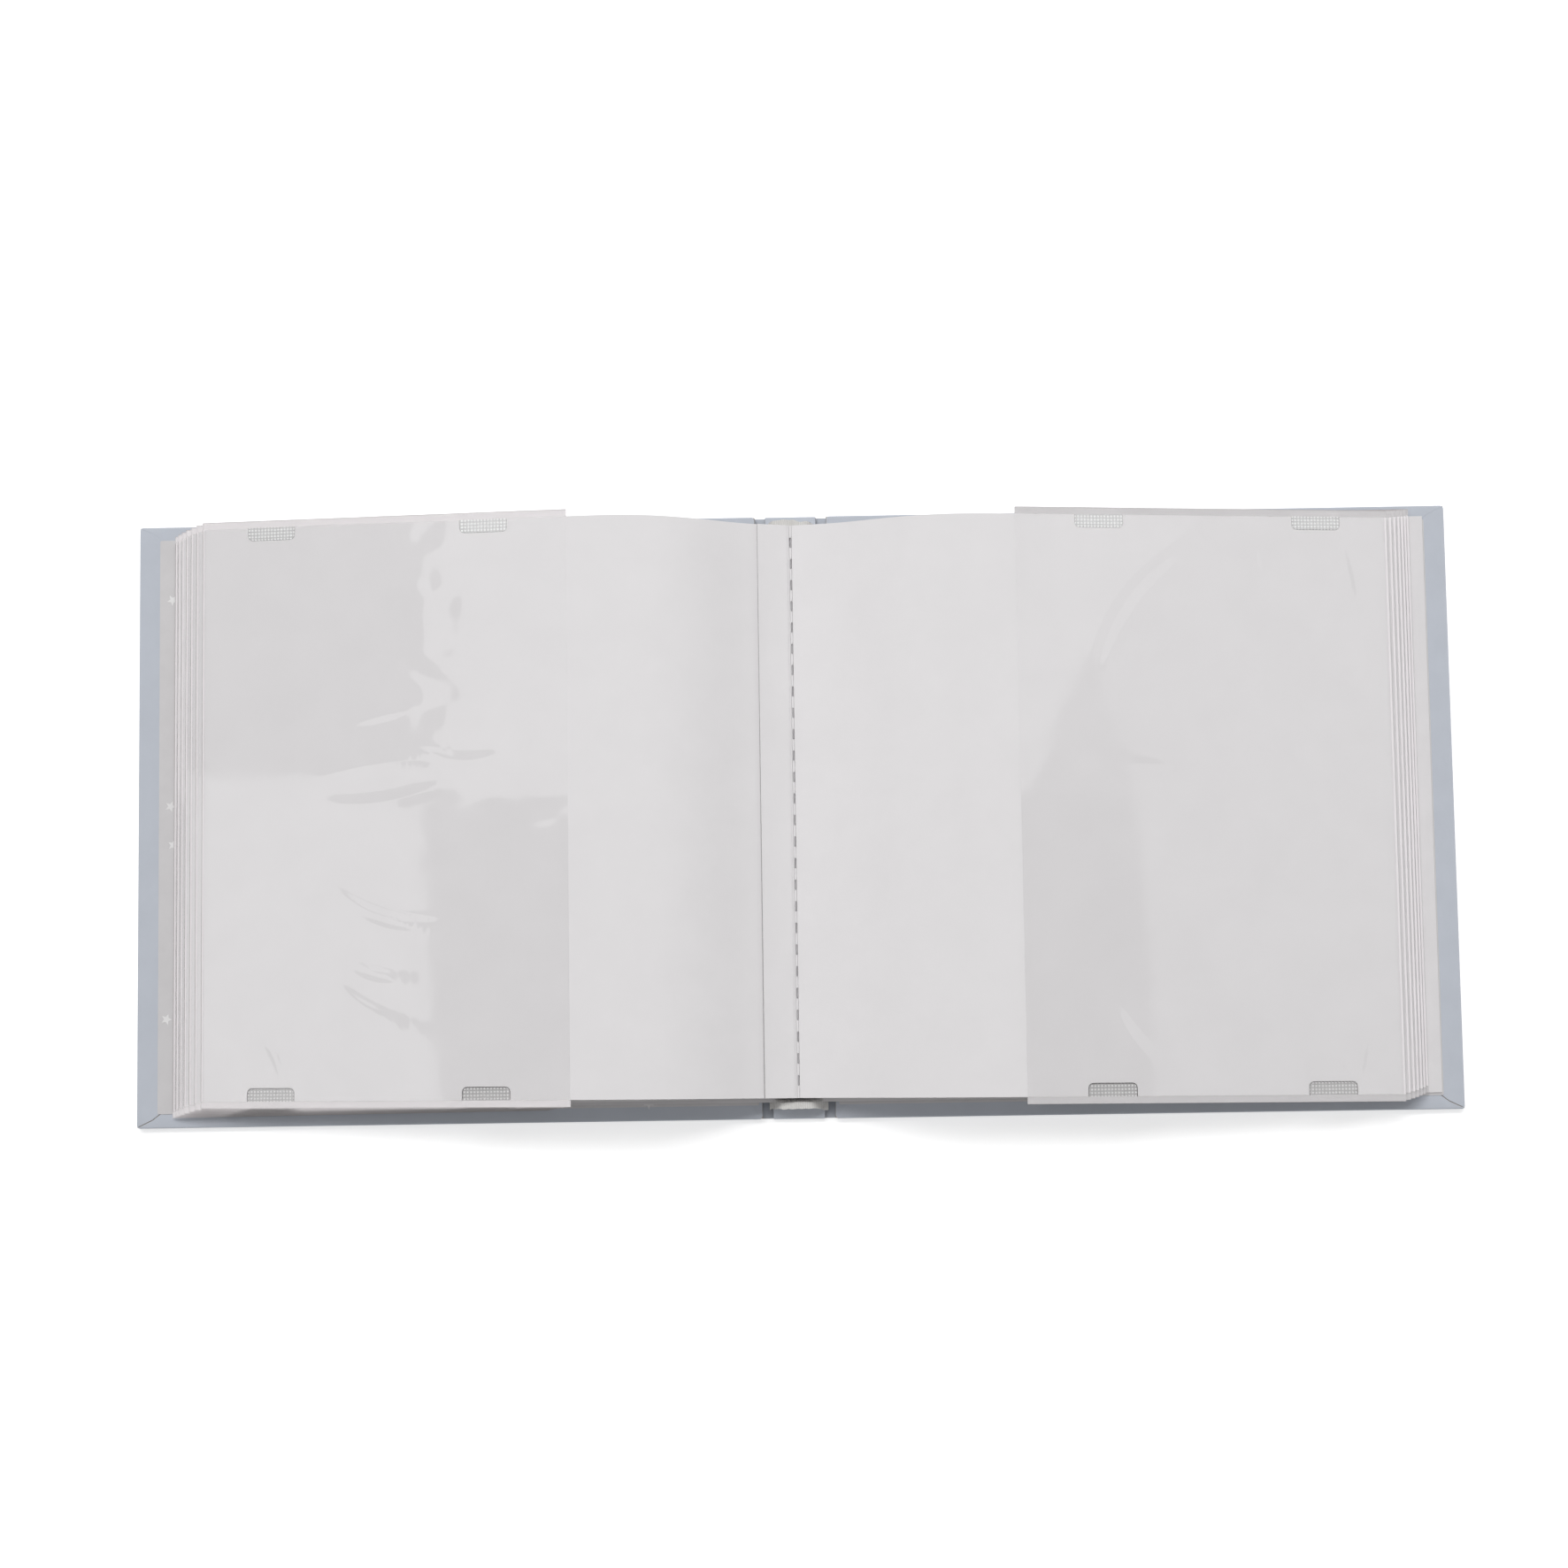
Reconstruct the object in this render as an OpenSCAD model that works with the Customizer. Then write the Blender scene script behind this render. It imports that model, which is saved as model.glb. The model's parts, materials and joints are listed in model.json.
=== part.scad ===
// Slip-in photo album with memo strips, lying open at its middle fold.
// Frame: +X to the back cover, +Y to the head, +Z up.
// The origin is on the table under the middle of the spine.
// Each side is drawn for +X, and the front half is its mirror image.
// Every leaf is two flat panels, a memo panel at the fold and a pocket panel at the fore-edge.
// They meet on a bend line, so that the open leaf arches and the closed leaf is straight.

/* [Case] */
// Height of the case from head to tail
cover_h = 175; // [140:1:260]
// Width of one cover from its joint groove to its fore-edge
cover_w = 180; // [165:1:260]
// Thickness of the cover boards
board_t = 2.4; // [1.6:0.1:4]
// Thickness of the paper that covers the case
covering_t = 0.2; // [0.1:0.05:0.4]
// Width of the turn-in at the fore-edge
turn_in_fore = 16; // [10:1:30]
// Width of the turn-ins at head and tail
turn_in_end = 12; // [8:1:25]
// Width of the open seam between two mitred turn-ins
seam_w = 0.4; // [0.2:0.1:1]
// How much thinner the spine strip is than the boards
spine_recess = 0.8; // [0.4:0.1:1.2]
// Gap that the closed cover keeps above the spine
joint_clear = 0.1; // [0.1:0.05:1]

/* [Endpapers] */
// Thickness of pastedowns and flyleaves
endpaper_t = 0.2; // [0.1:0.05:0.4]
// Border of covering paper left bare at head and tail
endpaper_border_end = 4; // [2:0.5:7]
// Border of covering paper left bare at the fore-edge
endpaper_border_fore = 6; // [3:0.5:9]
// Width of the front cover that its flyleaf leaves free at the fore-edge
front_flyleaf_margin = 11.5; // [5:0.5:40]
// Width of the back cover that its flyleaf leaves free at the fore-edge
back_flyleaf_margin = 6.5; // [5:0.5:40]

/* [Leaves] */
// Number of leaves on each side of the middle fold
leaf_count = 7; // [4:1:7]
// Thickness of the leaf paper
paper_t = 0.3; // [0.2:0.05:0.5]
// Margin between the leaves and the case at head and tail
leaf_margin_end = 5; // [3.5:0.5:12]
// Width of a cover that the leaf leaves free
leaf_margin_fore = 7; // [6:0.5:14]
// Clear gap between two closed leaves
leaf_gap = 0.29; // [0.2:0.01:1]
// Drop of each fold below the fold above it, beyond the room that a leaning sleeve takes
fold_drop = 0.04; // [0.02:0.02:0.6]
// Width of the half sheet glued beside the stitching
stub_w = 9.5; // [5:0.5:20]

/* [Sleeves] */
// Thickness of the clear film
film_t = 0.08; // [0.05:0.01:0.15]
// Room for a print between film and paper
print_gap = 0.1; // [0.1:0.02:0.5]
// Width of the film pocket
sleeve_w = 107.5; // [90:0.5:110]
// Bare paper between the film and the bend line
sleeve_setback = 4.5; // [2:0.5:10]
// How far the film stands out past the paper at head and tail
sleeve_over = 2; // [1:0.1:3]
// Width of a weld notch
notch_w = 14; // [8:0.5:20]
// Depth of a weld notch
notch_d = 3.8; // [2.5:0.1:6]
// Corner radius of a weld notch
notch_r = 1.4; // [0.5:0.1:2]
// Distance of the outer notches from the fore-edge
notch_from_fore = 20.3; // [14:0.1:30]
// Distance of the inner notches from the film's inner edge
notch_from_inner = 24.2; // [14:0.1:34]
// Clearance of the weld in its notch
weld_clear = 0.4; // [0.2:0.1:1]

/* [Open shape] */
// Rise of the top front leaf from its fold to its bend line
front_crest_rise = 17.5; // [6:0.5:26]
// Rise of the top front leaf from its fold to its fore-edge
front_fore_rise = 1; // [0.5:0.5:12]
// Rise of the top back leaf from its fold to its bend line
back_crest_rise = 15.5; // [6:0.5:26]
// Rise of the top back leaf from its fold to its fore-edge
back_fore_rise = 4; // [0.5:0.5:12]

/* [Sewing] */
// Thickness of the sewing thread
thread_d = 0.4; // [0.3:0.05:0.45]
// Length of one stitch and the space after it
stitch_pitch = 6.2; // [4:0.1:10]
// Length of one stitch
stitch_l = 3.1; // [2:0.1:3.6]
// Clearance of the thread in its holes
thread_clear = 0.05; // [0.02:0.01:0.1]
// Gap between the edge of the spine lining and the joint axis
lining_inset = 0.5; // [0.2:0.1:3]
// Thickness of the spine lining
lining_t = 1.05; // [0.8:0.05:1.5]
// How far the spine lining stands out past the leaves at head and tail
lining_over = 2; // [0.5:0.1:3]

/* [Hidden] */
$fn = 32;
covering_colour = [0.74, 0.75, 0.80];
endpaper_colour = [0.78, 0.77, 0.77];
paper_colour = [0.90, 0.89, 0.89];
board_colour = [0.62, 0.60, 0.57];
film_colour = [0.88, 0.90, 0.92, 0.4];
lining_colour = [0.86, 0.85, 0.83];
thread_colour = [0.95, 0.95, 0.94];
// Small running clearances of folds, bends and flyleaves
fold_clear = 0.15;
bend_clear = 0.1;
fly_clear = 0.15;
close_clear = 0.25;
rest_clear = 0.11;
flap_clear = 0.45;
thread_side = 0.2;
joint_gap = 0.2;
lining_slope = 2.5;
stub_start = 0.5;
stub_lift = 0.05;
corner_clear = 1;
past = 1;
// Heights of the case
cover_t = board_t + 2 * covering_t;
face_z = cover_t + endpaper_t;
hinge_z = cover_t / 2;
groove = cover_t / 2 + joint_clear;
strip_t = board_t - spine_recess;
spine_top = strip_t + 2 * covering_t;
lining_top = spine_top + lining_t;
flap_top = min(lining_top - film_t, hinge_z + groove - flap_clear);
// Sheets of one leaf
leaf_h = cover_h - 2 * leaf_margin_end;
leaf_w = cover_w - leaf_margin_fore;
pocket_w = sleeve_w + sleeve_setback;
memo_w = leaf_w - pocket_w;
sleeve_h = leaf_h + 2 * sleeve_over;
film_in = paper_t / 2 + print_gap;
film_out = film_in + film_t;
notch_at = [sleeve_setback + notch_from_inner, pocket_w - notch_from_fore];
// Folds, from the top leaf outwards and downwards
pitch = 2 * film_out + leaf_gap;
fold_start = thread_d / 2 + paper_t / 2 + thread_side;
fold_step = 2 * film_out + fold_drop + max(0, lean_room("front"), lean_room("back"));
fly_z = max(face_z, lining_top) + fly_clear + endpaper_t / 2;
fold_base = fly_z + endpaper_t / 2 + film_out + rest_clear;
fly_x = fold_x(leaf_count) + film_out + leaf_gap + endpaper_t / 2;
// Cover joints, set so that the closed covers lie along the flyleaves
hinge_x = fly_x + endpaper_t / 2 + close_clear + face_z - hinge_z;
cover_x = hinge_x + groove;
fore_x = cover_x + cover_w;
spine_x = hinge_x - groove;
joint_x = cover_x - joint_gap;
// Sewing
stitches = floor((leaf_h - stitch_l) / stitch_pitch);
thread_top = fold_z(1) + thread_d / 2;
thread_low = spine_top + thread_d / 4;

function share(i) = (leaf_count - i + 0.5) / (leaf_count - 0.5);
function fold_x(i) = fold_start + pitch * (i - 1);
function fold_z(i) = fold_base + fold_step * (leaf_count - i);
function memo_angle(side, i) = asin(crest_rise(side) * share(i) / memo_w);
function pocket_angle(side, i) = asin((crest_rise(side) - fore_rise(side)) * share(i) / pocket_w);
function lean_room(side) = tan(pocket_angle(side, 1))
    * (pitch + memo_w * (cos(memo_angle(side, 2)) - cos(memo_angle(side, 1))));
function crest_rise(side) = side == "front" ? front_crest_rise : back_crest_rise;
function fore_rise(side) = side == "front" ? front_fore_rise : back_fore_rise;
function guard_top(i) = i == 1 ? thread_top - thread_d : fold_z(i) + paper_t / 2;
function guard_half(i) = fold_x(i) - paper_t / 2 - fold_clear;
function stitch_y(k) = (k - (stitches - 1) / 2) * stitch_pitch;

case_nodes = [
    "spine_strip", "spine_covering", "spine_lining", "fold_guards", "sewing_thread",
    "front_joint", "back_joint", "front_board", "front_covering", "front_pastedown",
    "back_board", "back_covering", "back_pastedown", "front_flyleaf", "back_flyleaf",
    "centre_stub"
];
leaf_nodes = [
    for (side = ["front", "back"], part = ["memo", "pocket", "sleeve"], i = [1:leaf_count])
        str(side, "_", part, "_", i)
];

// Puts what is drawn for +X on its own side: the front half is the mirror image
module on_side(side) {
    if (side == "front") mirror([1, 0, 0]) children();
    else children();
}

// Both ends of the album, head and tail
module both_ends() {
    children();
    mirror([0, 1, 0]) children();
}

// A profile drawn in X and Z, extruded along Y about the middle
module along_y(length) {
    rotate([90, 0, 0]) linear_extrude(length, center = true) children();
}

// A box centred on Y
module slab(x0, x1, y_size, z0, z1) {
    translate([x0, -y_size / 2, z0]) cube([x1 - x0, y_size, z1 - z0]);
}

// Places what follows in the frame of a memo panel, at its fold
module at_fold(side, i) {
    on_side(side) translate([fold_x(i), 0, fold_z(i)]) rotate([0, -memo_angle(side, i), 0]) children();
}

// Places what follows in the frame of a pocket panel, at its bend line
module at_bend(side, i) {
    at_fold(side, i) translate([memo_w, 0, 0])
        rotate([0, memo_angle(side, i) + pocket_angle(side, i), 0]) children();
}

// Outline of a sheet seen along Y, with its hinged edge round
module sheet_profile(width, thickness) {
    translate([0, -thickness / 2]) square([width, thickness]);
    circle(d = thickness);
}

// Board of one cover
module board() {
    color(board_colour)
        slab(cover_x, fore_x - covering_t, cover_h - 2 * covering_t, covering_t, cover_t - covering_t);
}

// Open seam from the corner of the cover to the corner of the turn-ins
module mitre_seam() {
    translate([fore_x, cover_h / 2, cover_t - covering_t])
        rotate([0, 0, 180 + atan2(turn_in_end, turn_in_fore)])
        translate([corner_clear, -seam_w / 2, 0])
        cube([norm([turn_in_end, turn_in_fore]), seam_w, covering_t + past]);
}

// Covering paper of one cover, wrapped over three edges of the board
module covering() {
    color(covering_colour) difference() {
        slab(cover_x, fore_x, cover_h, 0, cover_t);
        slab(cover_x - past, fore_x - covering_t, cover_h - 2 * covering_t, covering_t, cover_t - covering_t);
        slab(cover_x - past, fore_x - turn_in_fore, cover_h - 2 * turn_in_end, board_t, cover_t + past);
        both_ends() mitre_seam();
    }
}

// Endpaper pasted to the inside of one cover
module pastedown() {
    height = cover_h - 2 * endpaper_border_end;
    color(endpaper_colour) slab(cover_x + past, fore_x - endpaper_border_fore, height, cover_t, face_z);
}

// Free half of an endpaper
module flyleaf(margin) {
    color(paper_colour) translate([fly_x, 0, fly_z])
        along_y(cover_h - 2 * endpaper_border_end) sheet_profile(fore_x - margin - fly_x, endpaper_t);
}

// Covering paper in the joint groove, turned in at head and tail
module joint() {
    color(covering_colour) {
        slab(spine_x, joint_x, cover_h, 0, covering_t);
        both_ends() translate([spine_x, cover_h / 2 - turn_in_end, 0])
            cube([joint_x - spine_x, turn_in_end, 2 * covering_t]);
    }
}

module spine_strip() {
    color(board_colour)
        slab(-spine_x, spine_x, cover_h - 2 * covering_t, covering_t, covering_t + strip_t);
}

module spine_covering() {
    color(covering_colour) difference() {
        slab(-spine_x, spine_x, cover_h, 0, spine_top);
        slab(-spine_x - past, spine_x + past, cover_h - 2 * covering_t, covering_t, covering_t + strip_t);
        slab(-spine_x - past, spine_x + past, cover_h - 2 * turn_in_end, strip_t, spine_top + past);
    }
}

// Path of the running stitch, seen along X: stitches on top, returns below, and the threads between
module stitch_path(clear) {
    for (k = [0:stitches - 1]) {
        translate([stitch_y(k) - stitch_l / 2 - clear, thread_top - thread_d - clear])
            square([stitch_l + 2 * clear, thread_d + 2 * clear]);
        for (y = [stitch_y(k) - stitch_l / 2, stitch_y(k) + stitch_l / 2 - thread_d])
            translate([y - clear, thread_low - clear])
                square([thread_d + 2 * clear, thread_top - thread_low + clear]);
    }
    for (k = [0:stitches - 2])
        translate([stitch_y(k) + stitch_l / 2 - thread_d - clear, thread_low - clear])
            square([stitch_pitch - stitch_l + 2 * (thread_d + clear), thread_d + 2 * clear]);
}

// The stitch path as a solid, thickened along X
module stitching(clear) {
    rotate([90, 0, 90]) linear_extrude(thread_d + 2 * clear, center = true) stitch_path(clear);
}

module sewing_thread() {
    color(thread_colour) stitching(0);
}

// Soft lining on the back of the block, thin where the closed covers come down beside it
module spine_lining() {
    half = hinge_x - lining_inset;
    flat = half - (lining_top - flap_top) * lining_slope;
    color(lining_colour) difference() {
        along_y(leaf_h + 2 * lining_over)
            polygon([
                [-half, spine_top], [half, spine_top], [half, flap_top],
                [flat, lining_top], [-flat, lining_top], [-half, flap_top]
            ]);
        stitching(thread_clear);
    }
}

// Nested folds of the leaves, one strip for each pair of leaves
module fold_guards() {
    color(paper_colour) difference() {
        along_y(leaf_h) for (i = [1:leaf_count])
            translate([-guard_half(i), lining_top])
                square([2 * guard_half(i), guard_top(i) - lining_top]);
        stitching(thread_clear);
    }
}

// Half sheet that lies on the top memo panel of the front side
module centre_stub() {
    color(paper_colour) at_fold("front", 1)
        slab(stub_start, stub_w, leaf_h, paper_t / 2 + stub_lift, paper_t / 2 + stub_lift + paper_t * 2 / 3);
}

// Paper between the fold and the bend line
module memo(side, i) {
    color(paper_colour) at_fold(side, i)
        along_y(leaf_h) sheet_profile(memo_w - paper_t / 2 - bend_clear, paper_t);
}

// Outline of a weld notch at the edge of the paper, with round inner corners
module notch_outline() {
    square([notch_w, 2 * (notch_d - notch_r)], center = true);
    square([notch_w - 2 * notch_r, 2 * notch_d], center = true);
    for (x = [-1, 1], y = [-1, 1])
        translate([x * (notch_w / 2 - notch_r), y * (notch_d - notch_r)]) circle(notch_r);
}

// Paper between the bend line and the fore-edge, with four notches
module pocket(side, i) {
    color(paper_colour) at_bend(side, i) difference() {
        along_y(leaf_h) sheet_profile(pocket_w, paper_t);
        both_ends() for (x = notch_at)
            translate([x, leaf_h / 2, 0]) linear_extrude(paper_t + past, center = true) notch_outline();
    }
}

// Film folded round the fore-edge of the pocket panel, seen along Y
module sleeve_profile() {
    difference() {
        union() {
            translate([sleeve_setback, -film_out]) square([sleeve_w, 2 * film_out]);
            translate([pocket_w, 0]) circle(film_out);
        }
        translate([sleeve_setback - past, -film_in]) square([sleeve_w + past, 2 * film_in]);
        translate([pocket_w, 0]) circle(film_in);
    }
}

// Weld of the two films through one notch
module weld(x) {
    weld_w = notch_w - 2 * weld_clear;
    weld_d = notch_d + sleeve_over - weld_clear;
    translate([x - weld_w / 2, sleeve_h / 2 - weld_d, -film_out]) cube([weld_w, weld_d, 2 * film_out]);
}

// Film sleeve of one leaf with its four welds
module sleeve(side, i) {
    color(film_colour) at_bend(side, i) {
        along_y(sleeve_h) sleeve_profile();
        both_ends() for (x = notch_at) weld(x);
    }
}

spine_strip();
spine_covering();
spine_lining();
fold_guards();
sewing_thread();
on_side("front") flyleaf(front_flyleaf_margin);  // front_flyleaf
on_side("back") flyleaf(back_flyleaf_margin);  // back_flyleaf
centre_stub();
for (side = ["front", "back"]) {
    on_side(side) joint();
    on_side(side) board();
    on_side(side) covering();
    on_side(side) pastedown();
    for (i = [1:leaf_count]) {
        memo(side, i);
        pocket(side, i);
        sleeve(side, i);
    }
}
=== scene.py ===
"""Slip-in photo album lying open at its middle fold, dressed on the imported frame."""

import json
import logging
import math
import random
from collections.abc import Callable, Sequence
from dataclasses import dataclass, field
from enum import Enum

import bmesh
import bpy
from bmesh.types import BMesh, BMFace, BMVert
from bpy.types import Material, Node, NodeSocket, NodeTree, Object, World
from mathutils import Matrix, Vector, noise


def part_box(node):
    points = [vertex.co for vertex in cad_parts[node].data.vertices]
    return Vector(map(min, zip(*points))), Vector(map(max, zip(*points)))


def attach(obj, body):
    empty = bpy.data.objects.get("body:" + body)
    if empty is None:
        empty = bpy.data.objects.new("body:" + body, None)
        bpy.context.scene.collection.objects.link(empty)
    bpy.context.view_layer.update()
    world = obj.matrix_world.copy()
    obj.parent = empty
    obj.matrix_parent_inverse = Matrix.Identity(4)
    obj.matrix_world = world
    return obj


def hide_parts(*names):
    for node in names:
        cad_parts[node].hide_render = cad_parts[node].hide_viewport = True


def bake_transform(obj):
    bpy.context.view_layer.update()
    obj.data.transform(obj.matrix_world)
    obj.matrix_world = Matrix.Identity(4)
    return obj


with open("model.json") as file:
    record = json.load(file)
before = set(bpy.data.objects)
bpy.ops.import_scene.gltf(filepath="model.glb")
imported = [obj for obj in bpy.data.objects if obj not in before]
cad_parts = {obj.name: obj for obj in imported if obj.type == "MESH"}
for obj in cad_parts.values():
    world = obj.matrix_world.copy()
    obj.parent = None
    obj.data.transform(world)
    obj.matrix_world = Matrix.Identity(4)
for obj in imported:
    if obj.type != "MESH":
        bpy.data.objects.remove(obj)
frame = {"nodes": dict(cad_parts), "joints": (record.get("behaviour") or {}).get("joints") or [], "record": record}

MM = 0.001
IMAGE_PX = 1772
# Turn of a cover from open to closed.
CLOSED_DEG = 90.0
# A cut takes a point this near to it, in metres, as its own.
SNAP = 1e-8
# Z of the normal of a face that lies flat, and of one that leans half way.
FACES_UP = 0.99
HALF_UP = 0.5
# Points that stand for a crease's bow, and rounds that settle a leaf's bend.
CREASE_STEPS = 24
BEND_ROUNDS = 24
# Share of a grid line that counts as none.
SLIP = 1e-4
LOG = logging.getLogger("album")


class Side(Enum):
    """The two halves of the open album."""

    FRONT = "front"
    BACK = "back"

    @property
    def sign(self) -> float:
        """Direction of this half along X."""
        return -1.0 if self is Side.FRONT else 1.0


class End(Enum):
    """The two ends of the album along Y."""

    HEAD = 1.0
    TAIL = -1.0


# Shared helpers


def linear(hex_colour: str) -> tuple[float, float, float, float]:
    """Turns an sRGB hex colour to linear RGBA.

    Args:
        hex_colour: A colour such as "#C0C8D0".

    Returns:
        Linear red, green and blue, and an alpha of 1.
    """
    shares = [int(hex_colour[i:i + 2], 16) / 255 for i in (1, 3, 5)]
    red, green, blue = (c / 12.92 if c <= 0.04045 else ((c + 0.055) / 1.055) ** 2.4 for c in shares)
    return red, green, blue, 1.0


def per_mm(size: float) -> float:
    """Texture scale at which one feature is size millimetres wide."""
    return 1.0 / (size * MM)


def wave_per_mm(pitch: float) -> float:
    """Scale of the wave texture at which its bands lie pitch millimetres apart."""
    return math.pi / (10.0 * pitch * MM)


def spread(line: float, lines: int, size: float, *rims: float) -> float:
    """Places one of a sheet's grid lines, with narrow strips at both ends.

    Args:
        line: Number of the line, from 0 to lines.
        lines: Number of strips.
        size: Size of the sheet across the lines.
        rims: Widths of the narrow strips, from the sheet's edge inwards.

    Returns:
        Distance of the line from the sheet's edge.
    """
    near = round(min(line, lines - line))
    if near < len(rims):
        gone = sum(rims[:near])
        return gone if line < lines / 2 else size - gone
    return sum(rims) + (size - 2 * sum(rims)) * (line - len(rims)) / (lines - 2 * len(rims))


def add_node(tree: NodeTree, kind: str, inputs: dict | None = None, **settings) -> Node:
    """Adds one node with its settings, values and links.

    Args:
        tree: The node tree that gets the node.
        kind: The node's type name.
        inputs: Socket name or index to a value, to an output socket that feeds it, or to a node whose first
            output feeds it.
        settings: The node's own properties.

    Returns:
        The new node.
    """
    node = tree.nodes.new(kind)
    for name, value in settings.items():
        setattr(node, name, value)
    for key, value in (inputs or {}).items():
        if isinstance(value, (Node, NodeSocket)):
            tree.links.new(value.outputs[0] if isinstance(value, Node) else value, node.inputs[key])
        else:
            node.inputs[key].default_value = value
    return node


def settle(bm: BMesh, rule: Callable[[Vector], Vector]) -> None:
    """Moves every vertex to the place that a rule gives for it.

    Args:
        bm: The mesh in work.
        rule: Gives the new place of a point.
    """
    for vert in bm.verts:
        vert.co = rule(vert.co)


def flat_sheet(width: float, height: float, columns: int, rows: int) -> BMesh:
    """Starts a flat sheet with one edge on the Y axis.

    Args:
        width: Size along X in metres.
        height: Size along Y in metres, about the middle.
        columns: Faces along X.
        rows: Faces along Y.

    Returns:
        The new mesh in work.
    """
    bm = bmesh.new()
    bmesh.ops.create_grid(bm, x_segments=columns, y_segments=rows, size=0.5)
    bmesh.ops.scale(bm, vec=(width, height, 1.0), verts=bm.verts)
    bmesh.ops.translate(bm, vec=(width / 2, 0.0, 0.0), verts=bm.verts)
    return bm


def thicken(bm: BMesh, thickness: float, rim: int = 0) -> None:
    """Gives a flat sheet its thickness about its middle.

    Args:
        bm: The mesh in work, flat in X and Y.
        thickness: Thickness in metres.
        rim: Material index of the cut edges.
    """
    bmesh.ops.solidify(bm, geom=bm.faces[:], thickness=thickness)
    low = min(v.co.z for v in bm.verts)
    bmesh.ops.translate(bm, vec=(0.0, 0.0, -low - thickness / 2), verts=bm.verts)
    bmesh.ops.recalc_face_normals(bm, faces=bm.faces)
    bm.normal_update()
    for face in bm.faces:
        if abs(face.normal.z) < HALF_UP:
            face.material_index = rim


def gather(whole: BMesh, part: BMesh) -> None:
    """Adds a part to a mesh in work.

    Args:
        whole: The mesh that gets the part.
        part: The part's own mesh, which is freed.
    """
    mesh = bpy.data.meshes.new("part")
    part.to_mesh(mesh)
    part.free()
    whole.from_mesh(mesh)
    bpy.data.meshes.remove(mesh)


def slice_faces(bm: BMesh, faces: Sequence[BMFace], where: Vector, normal: Vector) -> None:
    """Cuts some faces along a plane.

    Args:
        bm: The mesh in work.
        faces: The faces that may be cut.
        where: A point of the plane.
        normal: The plane's normal.
    """
    edges, verts = {e for f in faces for e in f.edges}, {v for f in faces for v in f.verts}
    bmesh.ops.bisect_plane(bm, geom=[*faces, *edges, *verts], dist=SNAP, plane_co=where, plane_no=normal)


def cut_outline(bm: BMesh, outline: Sequence[Vector]) -> None:
    """Cuts a convex hole through a flat sheet.

    Args:
        bm: The mesh in work, flat in X and Y.
        outline: Corners of the hole, counter-clockwise.
    """
    xs, ys = [p.x for p in outline], [p.y for p in outline]

    def near(face: BMFace) -> bool:
        """Tells whether a face meets the hole's box."""
        fx, fy = [v.co.x for v in face.verts], [v.co.y for v in face.verts]
        return max(fx) > min(xs) and min(fx) < max(xs) and max(fy) > min(ys) and min(fy) < max(ys)

    for start, end in zip(outline, [*outline[1:], outline[0]]):
        along = (end - start).normalized()
        slice_faces(bm, [f for f in bm.faces if near(f)], start, Vector((along.y, -along.x, 0.0)))
    inside = []
    for face in (f for f in bm.faces if near(f)):
        c = face.calc_center_median()
        pairs = zip(outline, [*outline[1:], outline[0]])
        if all((b.x - a.x) * (c.y - a.y) - (b.y - a.y) * (c.x - a.x) > 0 for a, b in pairs):
            inside.append(face)
    bmesh.ops.delete(bm, geom=inside, context="FACES")


def make_piece(bm: BMesh, name: str, finishes: Sequence["Finish"], sharp_deg: float = 35.0) -> Object:
    """Turns a mesh in work into a smooth-shaded object with its materials.

    Args:
        bm: The finished mesh in work, which is freed.
        name: The piece's name.
        finishes: One finish for each material index.
        sharp_deg: Edges that turn further than this stay sharp.

    Returns:
        The new object at the origin.
    """
    mesh = bpy.data.meshes.new(name)
    bm.normal_update()
    bm.to_mesh(mesh)
    bm.free()
    for finish in finishes:
        mesh.materials.append(finish.material())
    mesh.shade_smooth()
    mesh.set_sharp_from_angle(angle=math.radians(sharp_deg))
    piece = bpy.data.objects.new(name, mesh)
    bpy.context.scene.collection.objects.link(piece)
    LOG.info("%s: %d faces", name, len(mesh.polygons))
    return piece


def seat(piece: Object, body: str, node: str) -> None:
    """Puts a piece on its body, in place of a solid.

    Args:
        piece: The piece.
        body: The body that carries it.
        node: The solid that it stands for.
    """
    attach(piece, body)
    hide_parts(node)


def clean_tree(owner: Material | World) -> NodeTree:
    """Gives the emptied node tree of a new material or world."""
    owner.use_nodes = True
    owner.node_tree.nodes.clear()
    return owner.node_tree


# Finishes


@dataclass(frozen=True)
class Finish:
    """A surface finish. Each kind of material draws its own nodes."""

    name: str
    colour: str

    def material(self) -> Material:
        """Gives the material, made on first use.

        Returns:
            The material of this finish.
        """
        made = bpy.data.materials.get(self.name)
        if made is None:
            made = bpy.data.materials.new(self.name)
            tree = clean_tree(made)
            add_node(tree, "ShaderNodeOutputMaterial", {"Surface": self.shade(tree)})
        return made

    def shade(self, tree: NodeTree) -> Node:
        """Draws the finish and gives its shader."""
        raise NotImplementedError


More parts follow.
